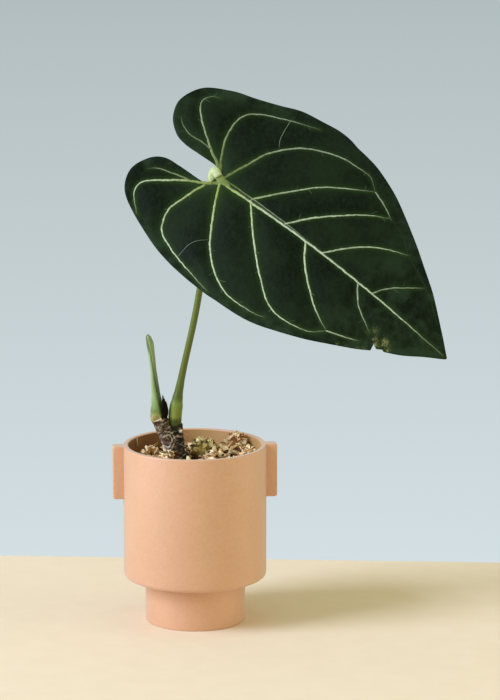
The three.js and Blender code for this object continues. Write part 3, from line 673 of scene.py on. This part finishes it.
def make_pot(material, lining):
    inner = BODY_RADIUS - WALL
    inner_foot = FOOT_RADIUS - WALL
    profile = [
        (0, 0),
        *round_corner(FOOT_RADIUS - FOOT_FILLET, FOOT_FILLET, FOOT_FILLET, -90, 0, 5),
        (FOOT_RADIUS, FOOT_HEIGHT * 0.5), (FOOT_RADIUS, FOOT_HEIGHT - 1.5),
        *round_corner(FOOT_RADIUS + EDGE_FILLET, FOOT_HEIGHT - EDGE_FILLET, EDGE_FILLET, 180, 90, 4),
        *round_corner(BODY_RADIUS - BODY_FILLET, FOOT_HEIGHT + BODY_FILLET, BODY_FILLET, -90, 0, 9),
        (BODY_RADIUS, POT_HEIGHT * 0.5),
        *round_corner(BODY_RADIUS - EDGE_FILLET, POT_HEIGHT - EDGE_FILLET, EDGE_FILLET, 0, 90, 5),
        *round_corner(inner + EDGE_FILLET, POT_HEIGHT - EDGE_FILLET, EDGE_FILLET, 90, 180, 5),
        (inner, POT_HEIGHT * 0.7), (inner, FOOT_HEIGHT + WALL),
        (inner_foot, FOOT_HEIGHT + WALL), (inner_foot, FLOOR), (0, FLOOR),
    ]
    pot = turned("ceramic_pot", profile, POT_SIDES, material)
    for side in (1, -1):
        combine(pot, tab_object(side, material), "UNION")
    for i in range(DRAIN_COUNT):
        angle = tau * i / DRAIN_COUNT + pi / 2
        hole = [(0, -FLOOR), (DRAIN_RADIUS, -FLOOR), (DRAIN_RADIUS, 2 * FLOOR), (0, 2 * FLOOR)]
        drill = turned("drill", hole, DRAIN_SIDES, material)
        drill.location = Vector((cos(angle), sin(angle), 0)) * DRAIN_CIRCLE * MM
        combine(pot, drill, "DIFFERENCE")
    pot.data.materials.append(lining)
    for face in pot.data.polygons:
        x, y, z = face.center / MM
        if hypot(x, y) < inner + 0.4 and FOOT_HEIGHT + 1 < z < POT_HEIGHT - 0.7:
            face.material_index = len(pot.data.materials) - 1
    pot.data.polygons.foreach_set("use_smooth", np.ones(len(pot.data.polygons), bool))
    pot.data.set_sharp_from_angle(angle=radians(SHARP_ANGLE))
    settle(pot, "ceramic", "pot")


# Blade

BLADE_AXES = np.array(Euler([radians(turn) for turn in BLADE_TURN]).to_matrix())


def nearest_distance(points, samples):
    """Distance from each flat point to the nearest of the samples."""
    parts = [points[i:i + 4000] for i in range(0, len(points), 4000)]
    return np.concatenate([lengths(part[:, None] - samples).min(1) for part in parts])


vein_samples = np.vstack([smooth_curve(points, 2.5) for _, _, points in [MIDRIB, *VEINS]])


def blade_height(points):
    x, y = points.T
    slope = 4 * BLADE_ARCH / BLADE_LENGTH
    front = slope * x * (1 - x / BLADE_LENGTH)
    back = slope * x * np.exp(np.minimum(x, 0) / 25) - LOBE_DROOP * (x / LOBE_LENGTH) ** 2
    quilt = QUILT_HEIGHT * (1 - bell(nearest_distance(points, vein_samples), QUILT_SPREAD))
    return np.where(x > 0, front, back) - SIDE_DROOP * (y / SIDE_REACH) ** 2 + quilt


def inside(points, outline):
    """Which flat points lie inside a closed outline."""
    x, y = points.T
    result = np.zeros(len(points), bool)
    for corner, previous in zip(outline, np.roll(outline, 1, axis=0)):
        rise = previous[1] - corner[1]
        if rise != 0:
            crosses = (corner[1] > y) != (previous[1] > y)
            result ^= crosses & (x < (previous[0] - corner[0]) * (y - corner[1]) / rise + corner[0])
    return result


def blade_flat_mesh(step):
    """Flat points and triangles inside the outline, and the outline, whose points come first."""
    outline = np.vstack([
        smooth_curve(UPPER_EDGE, step)[::-1], smooth_curve(LOWER_EDGE_START, step),
        np.array(LOWER_EDGE_NOTCH), smooth_curve(LOWER_EDGE_END, step)])
    low, high = outline.min(0), outline.max(0)
    across = np.arange(low[0], high[0], step)
    grid = np.vstack([np.column_stack([across + step / 2 * (i % 2), np.full(len(across), y)])
                      for i, y in enumerate(np.arange(low[1], high[1], step * sqrt(3) / 2))])
    grid = grid[inside(grid, outline)]
    grid = grid[nearest_distance(grid, outline) > 0.6 * step]
    ring = [(i, (i + 1) % len(outline)) for i in range(len(outline))]
    made = delaunay_2d_cdt([Vector(p) for p in np.vstack([outline, grid])], ring, [], 1, 1e-5)
    return np.array([tuple(p) for p in made[0]]), [tuple(f) for f in made[2]], outline


def vein_path(vein):
    """Where a vein really runs: its curve with a slight natural waver, and the way to its right."""
    width, _, points = vein
    path = smooth_curve(points, 1.6)
    heading = unit(np.gradient(path, axis=0))
    right = np.column_stack([heading[:, 1], -heading[:, 0]])
    sway = waver(np.pad(path, ((0, 0), (0, 1))), 0.22)
    return path + right * (0.45 * sway * min(1, width / 3))[:, None], right


def vein_spurs(vein, outline):
    """Short faint side veins that leave a main vein by turns to both sides."""
    path, _ = vein_path(vein)
    spurs = []
    side = 1
    at = randint(6, 11)
    while at < len(path) - 4:
        heading = unit(path[at + 1] - path[at])
        angle = side * uniform(0.8, 1.25)
        way = heading @ ((cos(angle), sin(angle)), (-sin(angle), cos(angle)))
        length = uniform(2, 7)
        bend = heading * uniform(-0.25, 0.35) * length
        end = path[at] + way * length + bend
        if inside(end[None], outline)[0]:
            share = vein[1] * uniform(0.05, 0.22)
            spurs.append((SPUR_WIDTH, share, [path[at], path[at] + way * length * 0.5, end]))
        side = -side
        at += randint(5, 16)
    return spurs


def vein_bar(vein, depth, rise, sides):
    """A tapering vein that stands a little above the blade and deeper below it, with its colour numbers."""
    width, share, _ = vein
    path, right = vein_path(vein)
    count = len(path)
    along = np.linspace(0, 1, count)
    swell = waver(np.pad(path, ((0, 0), (0, 1))), 0.35, (0, 0, 9 * 0.35))
    taper = 1 - along ** 2.2
    reach = lengths(path)
    close = bell(reach, 30) * (1 if share < 1 else 0.4)
    half = 0.5 * (0.75 + (width * 0.52 - 0.75) * taper) * (1 + 0.22 * swell) * (1 + 0.55 * close)
    above = BLADE_THICKNESS / 2 + rise * (0.35 + 0.65 * taper) + 0.06
    below = BLADE_THICKNESS / 2 + 0.15 + depth * taper
    height = blade_height(path)
    places = []
    ups = np.sin(tau * np.arange(sides) / sides)
    for k, up in enumerate(ups):
        flat = path + right * (half * cos(tau * k / sides))[:, None]
        places.append(np.column_stack([flat, height + (above if up >= 0 else below) * up]))
    points = np.stack(places, axis=1).reshape(-1, 3)
    pale = share * (1 - 0.75 * smoothstep(0.72, 1, along)) * (1 + 0.35 * swell) * (1 - 0.4 * close)
    pale = np.repeat(np.clip(pale, 0, 1), sides)
    pale = np.where(np.tile(ups < -0.1, count), np.maximum(pale, UNDERSIDE_SHARE), pale)
    return points, tube_faces(count, sides, inward=True), pale, np.repeat(bell(reach, JUNCTION_REACH), sides)


def make_blade(materials):
    """Both faces of the blade from one set of triangles, joined round the margin, and its veins."""
    seed(17)
    flat, triangles, outline = blade_flat_mesh(BLADE_STEP)
    ahead = np.roll(outline, -1, axis=0)
    margin = nearest_distance(flat, np.vstack([lerp(outline, ahead, t) for t in (0, 0.34, 0.67)]))
    lift = BLADE_THICKNESS * (0.45 + 0.55 * smoothstep(0, 3, margin)) / 2
    middle = blade_height(flat)
    count = len(flat)
    points = [np.column_stack([flat, middle + lift]), np.column_stack([flat, middle - lift])]
    faces = triangles + [tuple(i + count for i in reversed(t)) for t in triangles]
    edges = {edge for a, b, c in triangles for edge in ((a, b), (b, c), (c, a))}
    rim = [(a, a + count, b + count, b) for a, b in sorted(edges) if (b, a) not in edges]
    slots = [0] * len(triangles) + [1] * len(triangles) + [0] * len(rim)
    faces += rim
    glow = np.zeros(count)
    spread = 2.4 + 2.9 * bell(lengths(flat), JUNCTION_REACH)
    for _, share, path in [MIDRIB_LIGHT_LINES[0], *VEINS]:
        near = nearest_distance(flat, smooth_curve(path, 2.5))
        glow = np.maximum(glow, min(1, 0.15 + share) * bell(near, spread))
    crest = bell(flat[:, 0] - 70, 65) * smoothstep(40, 70, flat[:, 1])
    # Painted sheen along the margin, less on the upper crest, and a paler green haze towards the tip
    haze = np.maximum(bell(margin, 9) * (1 - 0.8 * crest), smoothstep(120, 210, flat[:, 0]))
    harm = np.max([reach - lengths(flat - place) for place, reach in BITES], axis=0)
    ribs = [vein_bar(MIDRIB, 2.2, 0.12, 10), vein_bar(JUNCTION_KNOB, 1.5, 0.9, 16)]
    for veins, depth, rise, sides in (
            (MIDRIB_LIGHT_LINES, 0.3, 0.5, 10), (VEINS, 1.3, 0.36, 10), (FINE_VEINS, 0.3, 0.12, 6)):
        ribs += [vein_bar(vein, depth, rise, sides) for vein in veins]
    for vein in VEINS:
        if vein[1] > 0.3:
            ribs += [vein_bar(spur, 0.2, 0.1, 6) for spur in vein_spurs(vein, outline)]
    pales, yellows = [np.zeros(2 * count)], [np.zeros(2 * count)]
    total = 2 * count
    for rib_points, rib_faces, pale, yellow in ribs:
        faces += [tuple(i + total for i in f) for f in rib_faces]
        slots += [2] * len(rib_faces)
        total += len(rib_points)
        points.append(rib_points)
        pales.append(pale)
        yellows.append(yellow)
    world = np.vstack(points) @ BLADE_AXES.T + BLADE_JUNCTION
    blade = mesh_object("velvet_blade", world, faces, materials, slots)
    numbers = {"vein_glow": glow, "edge_sheen_and_tip_haze": haze, "damage": harm}
    numbers = {name: np.pad(np.tile(values, 2), (0, total - 2 * count)) for name, values in numbers.items()}
    add_numbers(blade, vein_pale=np.concatenate(pales), vein_yellow=np.concatenate(yellows), **numbers)
    settle(blade, "velvet_leaf", "leaf_blade")


# Petiole, new shoot and dried sheath

def make_petiole(material):
    axis = smooth_curve(PETIOLE_AXIS, 1.1, centripetal=True)
    along = np.linspace(0, 1, len(axis))

    def radius_at(i, angle):
        end = float(smoothstep(0.965, 1.0, along[i]))
        radius = lerp(profile_value(PETIOLE_RADII, axis[i][2]), GENICULUM_END, end)
        return radius * (1 - 0.1 * bell(angle - SLIT_AT, 0.2) * (1 - smoothstep(0.06, 0.12, along[i])))

    points, faces, angles = swept(axis, radius_at, STALK_SIDES)
    stalk = mesh_object("leaf_stalk", points, faces, [material])
    # Painted shade: darkens the slit at the stalk's foot
    slit = bell(angles - SLIT_AT, 0.13) * (1 - smoothstep(0.07, 0.11, np.repeat(along, STALK_SIDES)))
    heights = np.maximum.accumulate(axis[:, 2])
    add_numbers(stalk, height=np.repeat(heights, STALK_SIDES), groove=slit * 0.6)
    settle(stalk, "stalk", "petiole")


def wrapped(angle):
    """The same angle between half a turn back and half a turn on."""
    return (angle + pi) % tau - pi


def make_shoot(material):
    """A rolled young leaf: its free edge winds from the left at the tip to the right at the foot."""
    axis = smooth_curve(SHOOT_AXIS, 0.8, centripetal=True)
    groove_at = np.array([profile_value(SHOOT_GROOVE, z) for z in axis[:, 2]])
    depths = 0.26 * smoothstep(192, 214, axis[:, 2])

    def radius_at(i, angle):
        gap = wrapped(angle - groove_at[i])
        roll = depths[i] * bell(gap, 0.22 if gap > 0 else 0.5)
        return profile_value(SHOOT_RADII, axis[i][2]) * (1.04 if gap < 0 else 1.0) * (1 - roll)

    points, faces, angles = swept(axis, radius_at, SHOOT_SIDES)
    height = np.repeat(axis[:, 2], SHOOT_SIDES)
    gap = wrapped(angles - np.repeat(groove_at, SHOOT_SIDES))
    # Painted shade in the groove where the rolled edge tucks in, and along the free edge near the tip
    groove = bell(gap, 0.2) * smoothstep(196, 212, height)
    outer_edge = smoothstep(238, 248, height) * smoothstep(0.15, -0.1, gap) * smoothstep(-1.6, -1.2, gap)
    # Painted light: a painted highlight on the flank left of the groove, and painted shade on the flank right
    # of it, fading up the shoot
    pale = smoothstep(-0.1, -0.55, gap) * smoothstep(-2.6, -1.6, gap) * smoothstep(188, 200, height)
    shade = smoothstep(-0.25, 0.15, gap) * (1 - smoothstep(1.7, 2.5, gap)) * smoothstep(186, 192, height)
    shade *= 0.75 - 0.6 * smoothstep(203, 232, height)
    shoot = mesh_object("young_leaf_roll", points, faces, [material])
    groove = 0.85 * np.maximum(groove, 0.75 * outer_edge)
    add_numbers(shoot, height=height, groove=groove, pale_side=pale, shade_side=shade)
    settle(shoot, "young_leaf", "new_shoot")


def make_dry_sheath(material):
    """Torn dark shreds of old sheath round the side of the shoot's foot."""
    centre = SHOOT_AXIS[0]
    columns, rows = 66, 16
    points = []
    for face in (SHEATH_THICKNESS / 2, -SHEATH_THICKNESS / 2):
        for i in range(columns + 1):
            share = i / columns
            turn = lerp(SHEATH_TURNS[0], SHEATH_TURNS[-1], share)
            tear = np.interp(turn, SHEATH_TURNS, SHEATH_TEARS)
            height = max(3, tear + 2.6 * noise.noise((share * 55, 3.1, 0)))
            across, over = cos(radians(turn)), sin(radians(turn))
            for j in range(rows + 1):
                z = height * j / rows
                curl = 0.45 * noise.noise((share * 14, z / 5, 1.7))
                curl += 0.3 * noise.noise((share * 60, z / 3, 5))
                bulge = 1.6 * bell(z - 7, 8) * max(0, across) * min(1, 0.4 + z / 4)
                radius = SHEATH_RADIUS + bulge + face * (1 - 0.5 * j / rows) - 0.03 * z + curl * min(1, z / 3)
                points.append((centre[0] + radius * across, centre[1] + radius * over, SHEATH_FOOT + z))
    shred = mesh_object("torn_sheath", points, sheet_faces(columns, rows), [material])
    settle(shred, "dry_sheath", "dried_sheath")


# Rhizome

def make_rhizome(material):
    """Two ringed arms melted together by a fine remesh, then scarred and roughened."""
    arms = [smooth_curve(arm, 1.0, True) for arm in (SHOOT_ARM, LEAF_ARM)]
    bars = [swept(arm, lambda i, a: ARM_RADIUS, 20) for arm in arms]
    for start, end, size in ROOT_KNOBS:
        bars.append(swept(np.linspace(start, end, 9), lambda i, a: size * cos(1.3 * i / 8), 20))
    points, faces = [], []
    for bar, bar_faces, _ in bars:
        faces += [tuple(k + len(points) for k in f) for f in bar_faces]
        points += list(bar)
    stem = mesh_object("rhizome_stem", points, faces, [material])
    remesh = stem.modifiers.new("melt", "REMESH")
    remesh.mode = "VOXEL"
    remesh.voxel_size = MELT_VOXEL * MM
    stem.modifiers.new("smooth", "SMOOTH").iterations = 4
    melted = apply_modifiers(stem)
    places = np.array([v.co for v in melted.vertices]) / MM
    normals = np.array([v.normal for v in melted.vertices])
    wobble = waver(places, 0.16)
    gaps = [lengths(places[:, None] - arm) for arm in arms]
    rings = [np.clip(np.cos((gap.argmin(1) + 2.2 * wobble + 3 * index) * tau / RING_PITCH), 0, 1) ** 6
             for index, gap in enumerate(gaps)]
    on_leaf_arm = gaps[1].min(1) < gaps[0].min(1)
    scar = np.where(on_leaf_arm, rings[1], rings[0])
    rough = np.array([noise.fractal(Vector(p) * 0.35, 0.7, 2.1, 4) for p in places])
    gap = lengths((places - OLD_SCAR) * (1, 0.5, 0.8))
    swirl = np.clip(np.cos(tau * gap / 2.3 + 2.6 * wobble), 0, 1) * bell(gap - 5, 3.2)
    swirl *= np.clip(0.85 + 2.2 * waver(places, 0.21, (7, 0, 0)), 0, 1)
    left = 1 - np.maximum(on_leaf_arm, smoothstep(-21, -14, places[:, 0]))
    swirl *= left
    hollow = bell(gap, 2.8, 4) * left
    nub = np.max([bell(lengths(places - spot), size, 4) for spot, size in PALE_NUBS], axis=0)
    shift = 0.5 * (scar + rough + swirl) - 0.25 - 0.6 * hollow
    shift *= smoothstep(138, 146, places[:, 2])
    melted.vertices.foreach_set("co", ((places + normals * shift[:, None]) * MM).ravel())
    melted.polygons.foreach_set("use_smooth", np.ones(len(melted.polygons), bool))
    melted.update()
    broken = np.clip(rough * 1.4 + 0.6, 0, 1)
    lines = np.maximum(0.75 * scar ** 2 * (0.25 + 0.75 * left) * broken, swirl * np.sqrt(broken))
    add_numbers(stem, scar=lines, hollow=hollow, nub=nub, dark_arm=1 - left)
    settle(stem, "rhizome", "rhizome")


# Potting mix, bark and moss

def mix_height(x, y):
    lumps = 1.5 * sin(x / 7.3 + 1) * cos(y / 6.1)
    crumbs = 1.1 * sin(x / 3.9 - y / 4.7 + 2)
    return MIX_LEVEL + 0.05 * x + lumps + crumbs


def make_ground(material):
    """The crumbly filling, closed down to the pot's floor."""
    foot = FOOT_RADIUS - WALL - GAP
    shoulder = FOOT_HEIGHT + WALL + GAP
    profile = [(0, FLOOR + GAP), (foot, FLOOR + GAP), (foot, shoulder), (MIX_RADIUS, shoulder)]
    profile += [(MIX_RADIUS * ring / MIX_RINGS, MIX_LEVEL) for ring in range(MIX_RINGS, -1, -1)]
    ground = turned("mix_filling", profile, MIX_SIDES, material)
    for vertex in ground.data.vertices:
        x, y, z = vertex.co / MM
        if z > MIX_LEVEL - 1:
            crumb = noise.fractal(Vector((x, y, 0)) * 0.28, 0.8, 2.1, 4)
            vertex.co.z = (mix_height(x, y) - 0.6 + 1.3 * crumb) * MM
    ground.data.update()
    settle(ground, "bark_mix", "potting_mix")


class Litter:
    """Many loose bits gathered in one mesh, each with its own tone."""

    def __init__(self):
        self.points, self.faces, self.tones = [], [], []

    def add(self, bit, tone, shift=(0, 0, 0), turn=np.eye(3)):
        points, faces = bit
        start = len(self.points)
        self.points.extend(map(tuple, points @ turn.T + shift))
        self.faces.extend(tuple(i + start for i in f) for f in faces)
        self.tones.extend([tone] * len(points))

    def add_flake(self, spot, length, slimmest, widest, lean):
        flake = flake_shape(length, slimmest, widest)
        self.add(flake, turn=random_turn(lean), shift=spot, tone=flake_tone())

    def make(self, name, material, slot, *nodes):
        thing = mesh_object(name, self.points, self.faces, [material])
        add_numbers(thing, tone=self.tones)
        settle(thing, slot, *nodes)


def turn_matrix(*angles):
    return np.array(Euler(angles).to_matrix())


def random_turn(lean):
    """Any heading, leaning up to the given angle."""
    tilt = turn_matrix(uniform(-lean, lean), uniform(-lean, lean), 0)
    return turn_matrix(0, 0, uniform(0, tau)) @ tilt


def random_triple(reach):
    return np.array([uniform(-reach, reach) for _ in range(3)])


def chip_shape(length, width, height):
    """A rough angular chunk of bark, from a jittered and rounded box."""
    n = 3
    points, index, faces = [], {}, []

    def corner(place):
        if place not in index:
            index[place] = len(points)
            p = np.array(place) / n - 0.5
            p *= 1 - 0.28 * lengths(p) ** 2
            points.append((p + random_triple(0.07)) * (length, width, height))
        return index[place]

    for a in range(n):
        for b in range(n):
            for side in (0, n):
                square = [(side, a, b), (side, a + 1, b), (side, a + 1, b + 1), (side, a, b + 1)]
                for roll in range(3):
                    face = [corner(place[-roll:] + place[:-roll]) for place in square]
                    faces.append(face if side else face[::-1])
    return np.array(points), faces


def flake_shape(length, slimmest, widest):
    """A thin crumpled shaving with both faces."""
    width = length * uniform(slimmest, widest)
    columns, rows = 7, 3
    bend = uniform(0.5, 3)
    twist = uniform(-1.4, 1.4)
    fold = uniform(-1.4, 1.4)
    salt = uniform(0, 500)
    points = []
    for face in (FLAKE_THICKNESS / 2, -FLAKE_THICKNESS / 2):
        for i in range(columns + 1):
            u = i / columns - 0.5
            across, over = cos(twist * u * 2), sin(twist * u * 2)
            for j in range(rows + 1):
                v = j / rows - 0.5
                ragged = noise.noise((u * length * 0.7, j, salt))
                y = v * width * max(0.12, (1 - (2 * abs(u)) ** 2.4) * (1 + 0.8 * ragged))
                crumple = 1.5 * noise.noise(Vector((u * length, v * width, salt)) * 0.33)
                lift = -bend * u * u * length * 0.45 + crumple + fold * abs(v) * width * 0.5
                points.append((u * length, y * across - lift * over, lift * across + y * over + face))
    return np.array(points), sheet_faces(columns, rows)


def flake_tone():
    """Mostly pale, with some dark shreds between whose darkness is painted shade for the gaps."""
    return uniform(0, 0.2) if random() < 0.25 else 1 - 0.5 * random() ** 1.5


def strand_shape(start, direction, length, radius, wander):
    """A thin bent fibre that tapers to its end."""
    steps = 5
    heading = unit(np.array(direction, float))
    path = [np.array(start, float)]
    for _ in range(steps):
        heading = unit(heading + random_triple(wander))
        path.append(path[-1] + heading * length / steps)
    return swept(np.array(path), lambda i, a: radius * (1 - 0.8 * i / steps), 3)[:2]


STEM_PLACES = [place for arm in (SHOOT_ARM, LEAF_ARM) for place in smooth_curve(arm, 4, True)]


def fits(x, y, z, reach, margin):
    """Whether a bit of this reach stays inside the pot, and its margin clear of the stems."""
    return hypot(x, y) + reach <= MIX_RADIUS and not any(
        abs(az - z) < 8 and hypot(ax - x, ay - y) < ARM_RADIUS + margin for ax, ay, az in STEM_PLACES)


def in_clump(x, y, scale):
    return any(hypot((x - cx) / sx, (y - cy) / sy) < scale for cx, cy, sx, sy, _ in MOSS_CLUMPS)


def random_place(margin):
    """A random spot on the mix, this far or more from the pot's wall."""
    reach = (MIX_RADIUS - margin) * sqrt(random())
    angle = uniform(0, tau)
    return reach * cos(angle), reach * sin(angle)


def scatter_bark(material):
    seed(11)
    bark = Litter()
    for _ in range(BARK_COUNT):
        x, y = random_place(3)
        length = uniform(3, 11) * (1 if random() < 0.7 else 0.6)
        if hypot(x, y) + length / 2 > MIX_RADIUS:
            continue
        z = mix_height(x, y) + uniform(-0.8, 1.2)
        if fits(x, y, z, 0, length * 0.35) and not in_clump(x, y, 0.8):
            chip = chip_shape(length, length * uniform(0.35, 0.7), uniform(1.6, 4))
            turn = turn_matrix(uniform(-0.7, 0.7), uniform(-0.6, 0.6), uniform(0, 6.3))
            bark.add(chip, random() ** 1.3, (x, y, z), turn)
    bark.make("bark_chips", material, "bark_mix")


def scatter_flakes(material):
    """Flakes all over the mix but for its bare spot, more on the left clumps and by the rhizome."""
    seed(23)
    flakes = Litter()
    for _ in range(FLAKE_COUNT):
        x, y = random_place(4)
        z = mix_height(x, y) + uniform(1, 5)
        length = uniform(7, 16)
        if not fits(x, y, z, length / 2, length * 0.45) or in_clump(x, y, 0.7):
            continue
        bare = 0.8 * bell(x - BARE_SPOT[0], 17) * bell(y - BARE_SPOT[1], 16)
        if random() >= (0.3 if x > 12 else 0.0) + bare:
            flakes.add_flake((x, y, z), length, 0.32, 0.6, 1.0)
    for _ in range(LEFT_FLAKE_COUNT):
        x, y = gauss(-38, 8), gauss(-4, 19)
        length = uniform(5, 11)
        z = mix_height(x, y) + uniform(7, 13)
        if fits(x, y, z, length / 2, length * 0.45) and in_clump(x, y, 0.75):
            flakes.add_flake((x, y, z), length, 0.32, 0.6, 1.2)
    for _ in range(FOOT_FLAKE_COUNT):
        x, y = gauss(-25, 5), gauss(-13, 7)
        length = uniform(5, 11)
        z = mix_height(x, y) + uniform(1, 11)
        if fits(x, y, z, 0, length * 0.3):
            flakes.add_flake((x, y, z), length, 0.35, 0.65, 1.2)
    flakes.make("moss_flakes", material, "dry_moss")


def moss_lobe(centre, size, shift):
    """One knobbly ball of a clump's core."""
    bands, sides = 9, 14
    rings = []
    for i in range(bands - 1, 0, -1):
        a = pi * i / bands
        rays = [Vector((sin(a) * cos(b), sin(a) * sin(b), cos(a))) for b in np.arange(sides) * tau / sides]
        rings.append([centre + size * ray * (1 + 0.32 * noise.noise(ray * 2.4 + shift)) for ray in rays])
    tip = np.array((0, 0, size[2]))
    return tipped_body(rings, centre - tip, centre + tip)


def clump_point(place, size):
    """A random spot on a clump's upper surface, and the way it faces."""
    angle = uniform(0, tau)
    rise = uniform(0.0, 1.0)
    flat = sqrt(1 - rise * rise) * uniform(0.75, 1.0)
    ray = np.array((flat * cos(angle), flat * sin(angle), rise))
    return place + ray * size * (0.88, 0.88, 0.86), ray


def moss_tuft(number, clump, material):
    """A clump of dried moss: a knobbly core with flakes and fibres standing out of it."""
    seed(100 + number)
    tuft = Litter()
    place = np.array((*clump[:2], mix_height(*clump[:2])))
    size = np.array(clump[2:])
    for lobe in range(LOBE_COUNT):
        angle = lobe * 2.4
        share = uniform(0.3, 0.62) if lobe else 0
        scale = uniform(0.3, 0.42) if lobe else 0.62
        rise = uniform(0.05, 0.4) * (1 - share) + 0.1 if lobe else 0.28
        centre = place + size * (share * cos(angle), share * sin(angle), rise)
        # The core lobes get dark tones as painted shade, so the gaps between the flakes read dark
        tuft.add(moss_lobe(centre, size * scale, Vector((number, lobe, 0))), uniform(0, 0.3))
    area = size[0] * size[1]
    for _ in range(int(area * 0.62)):
        spot, _ = clump_point(place, size)
        length = uniform(5, 11)
        if hypot(spot[0], spot[1]) + length / 2 <= MIX_RADIUS:
            tuft.add_flake(spot, length, 0.28, 0.5, 1.3)
    for _ in range(int(area * 0.5)):
        spot, ray = clump_point(place, size)
        direction = ray + random_triple(0.9)
        if hypot(spot[0], spot[1]) <= MIX_RADIUS - 4:
            tuft.add(strand_shape(spot, direction, uniform(2.5, 6), 0.28, 0.5), uniform(0.5, 1))
    tuft.make(f"moss_tuft_{number}", material, "dry_moss", f"moss_clump_{number}")


def make_fibres(material):
    """Pale curly fibres and small roots on the rhizome's foot, and one strand by the pot's wall."""
    seed(3)
    fibres = Litter()
    arms = [(smooth_curve(SHOOT_ARM, 1, True), 0.55), (smooth_curve(LEAF_ARM, 1, True), 0.2)]
    for i in range(FIBRE_COUNT):
        axis, low = arms[i % 2]
        spot = axis[randint(int(len(axis) * low), len(axis) - 6)]
        angle = uniform(pi, tau)
        ray = np.array((cos(angle), sin(angle), uniform(-0.2, 0.2)))
        sideways = np.cross(ray, (0, 0, 1)) * choice((-1, 1)) + np.array((0, 0, uniform(-0.8, 0.4)))
        start = spot + ray * (ARM_RADIUS - 0.2)
        fibres.add(strand_shape(start, sideways + ray * 0.25, uniform(4, 9), 0.3, 0.35), uniform(0.4, 1))
    fibres.add(strand_shape(WALL_STRAND, (-0.05, 0.1, 1), 8, 0.95, 0.12), 0.9)
    fibres.make("rhizome_fibres", material, "rhizome")


# Floor, light and camera

def make_stage():
    """A pale table top that ends a little way behind the pot, set a few degrees askew."""
    reach = TABLE_REACH
    corners = [(-reach, -reach), (reach, -reach), (reach, TABLE_BACK), (-reach, TABLE_BACK)]
    points = [(x, y, z) for z in (-TABLE_DEPTH, 0) for x, y in corners]
    table = mesh_object("table_top", points, tube_faces(2, 4), [floor_material()])
    table.data.polygons.foreach_set("use_smooth", np.zeros(6, bool))
    table.rotation_euler.z = radians(TABLE_TURN)


def placed(name, data, place, turn):
    thing = bpy.data.objects.new(name, data)
    thing.location = Vector(place) * MM
    thing.rotation_euler = turn
    bpy.context.scene.collection.objects.link(thing)
    return thing


def area_light(name, place, target, size, energy, colour):
    data = bpy.data.lights.new(name, "AREA")
    data.shape = "RECTANGLE"
    data.size, data.size_y = size[0] * MM, size[1] * MM
    data.energy = energy
    data.color = colour
    placed(name, data, place, (Vector(target) - Vector(place)).to_track_quat("-Z", "Y").to_euler())


def make_world():
    """A backdrop that the camera sees, darker above, and another light for everything else."""
    w = Nodes("studio", "worlds")
    seen = w.mix(w.range(w.axis("Z", "Generated"), -0.27, -0.09, kind="LINEAR"), BACKDROP_LOW, BACKDROP_HIGH)
    shine = w.tree.nodes["Background"]
    w.give(shine, {"Color": (0.97, 1.0, 0.77, 1), "Strength": 0.57})
    chosen = w.node("MixShader", {
        0: w.node("LightPath", {}).outputs["Is Camera Ray"], 1: shine.outputs[0],
        2: w.node("Background", {"Color": seen}).outputs[0]})
    w.give(w.tree.nodes["World Output"], {"Surface": chosen.outputs[0]})
    bpy.context.scene.world = w.made
    bpy.context.scene.view_settings.view_transform = "Standard"


def make_camera():
    data = bpy.data.cameras.new("camera")
    data.lens = CAMERA_LENS
    data.sensor_width = 36
    turn = (radians(CAMERA_TILT), 0, radians(CAMERA_TURN))
    bpy.context.scene.camera = placed("camera", data, CAMERA_PLACE, turn)


make_camera()
area_light("key", place=(-3440, -1130, 2350), target=(40, 0, 180), size=(1800, 2700), energy=223,
           colour=(0.745, 0.835, 1.16))
area_light("fill", place=(1720, -450, 600), target=(20, 0, 180), size=(1300, 1300), energy=10,
           colour=(1.0, 0.92, 0.76))
make_world()
make_stage()
make_pot(ceramic_material(), lining_material())
make_ground(ground_material())
scatter_bark(litter_material("bark_bits", (0.02, 0.008, 0.003), (0.18, 0.075, 0.025), (0.62, 0.37, 0.16)))
pale_moss = litter_material("moss_pale", (0.08, 0.024, 0.003), (0.84, 0.48, 0.18), (0.99, 0.79, 0.46))
green_moss = litter_material("moss_green", (0.08, 0.042, 0.004), (0.88, 0.62, 0.18), (0.98, 0.88, 0.48))
pink_moss = litter_material("moss_pink", (0.24, 0.085, 0.022), (0.98, 0.62, 0.28), (0.99, 0.8, 0.5))
scatter_flakes(pale_moss)
for number, clump in enumerate(MOSS_CLUMPS, 1):
    moss_tuft(number, clump, {1: green_moss, 2: pink_moss}.get(number, pale_moss))
make_rhizome(rhizome_material())
make_fibres(litter_material("fibre", (0.2, 0.13, 0.08), (0.5, 0.38, 0.26), (0.75, 0.64, 0.48)))
make_petiole(petiole_material())
make_shoot(shoot_material())
make_dry_sheath(dry_sheath_material())
make_blade([velvet_material(), underside_material(), vein_material()])
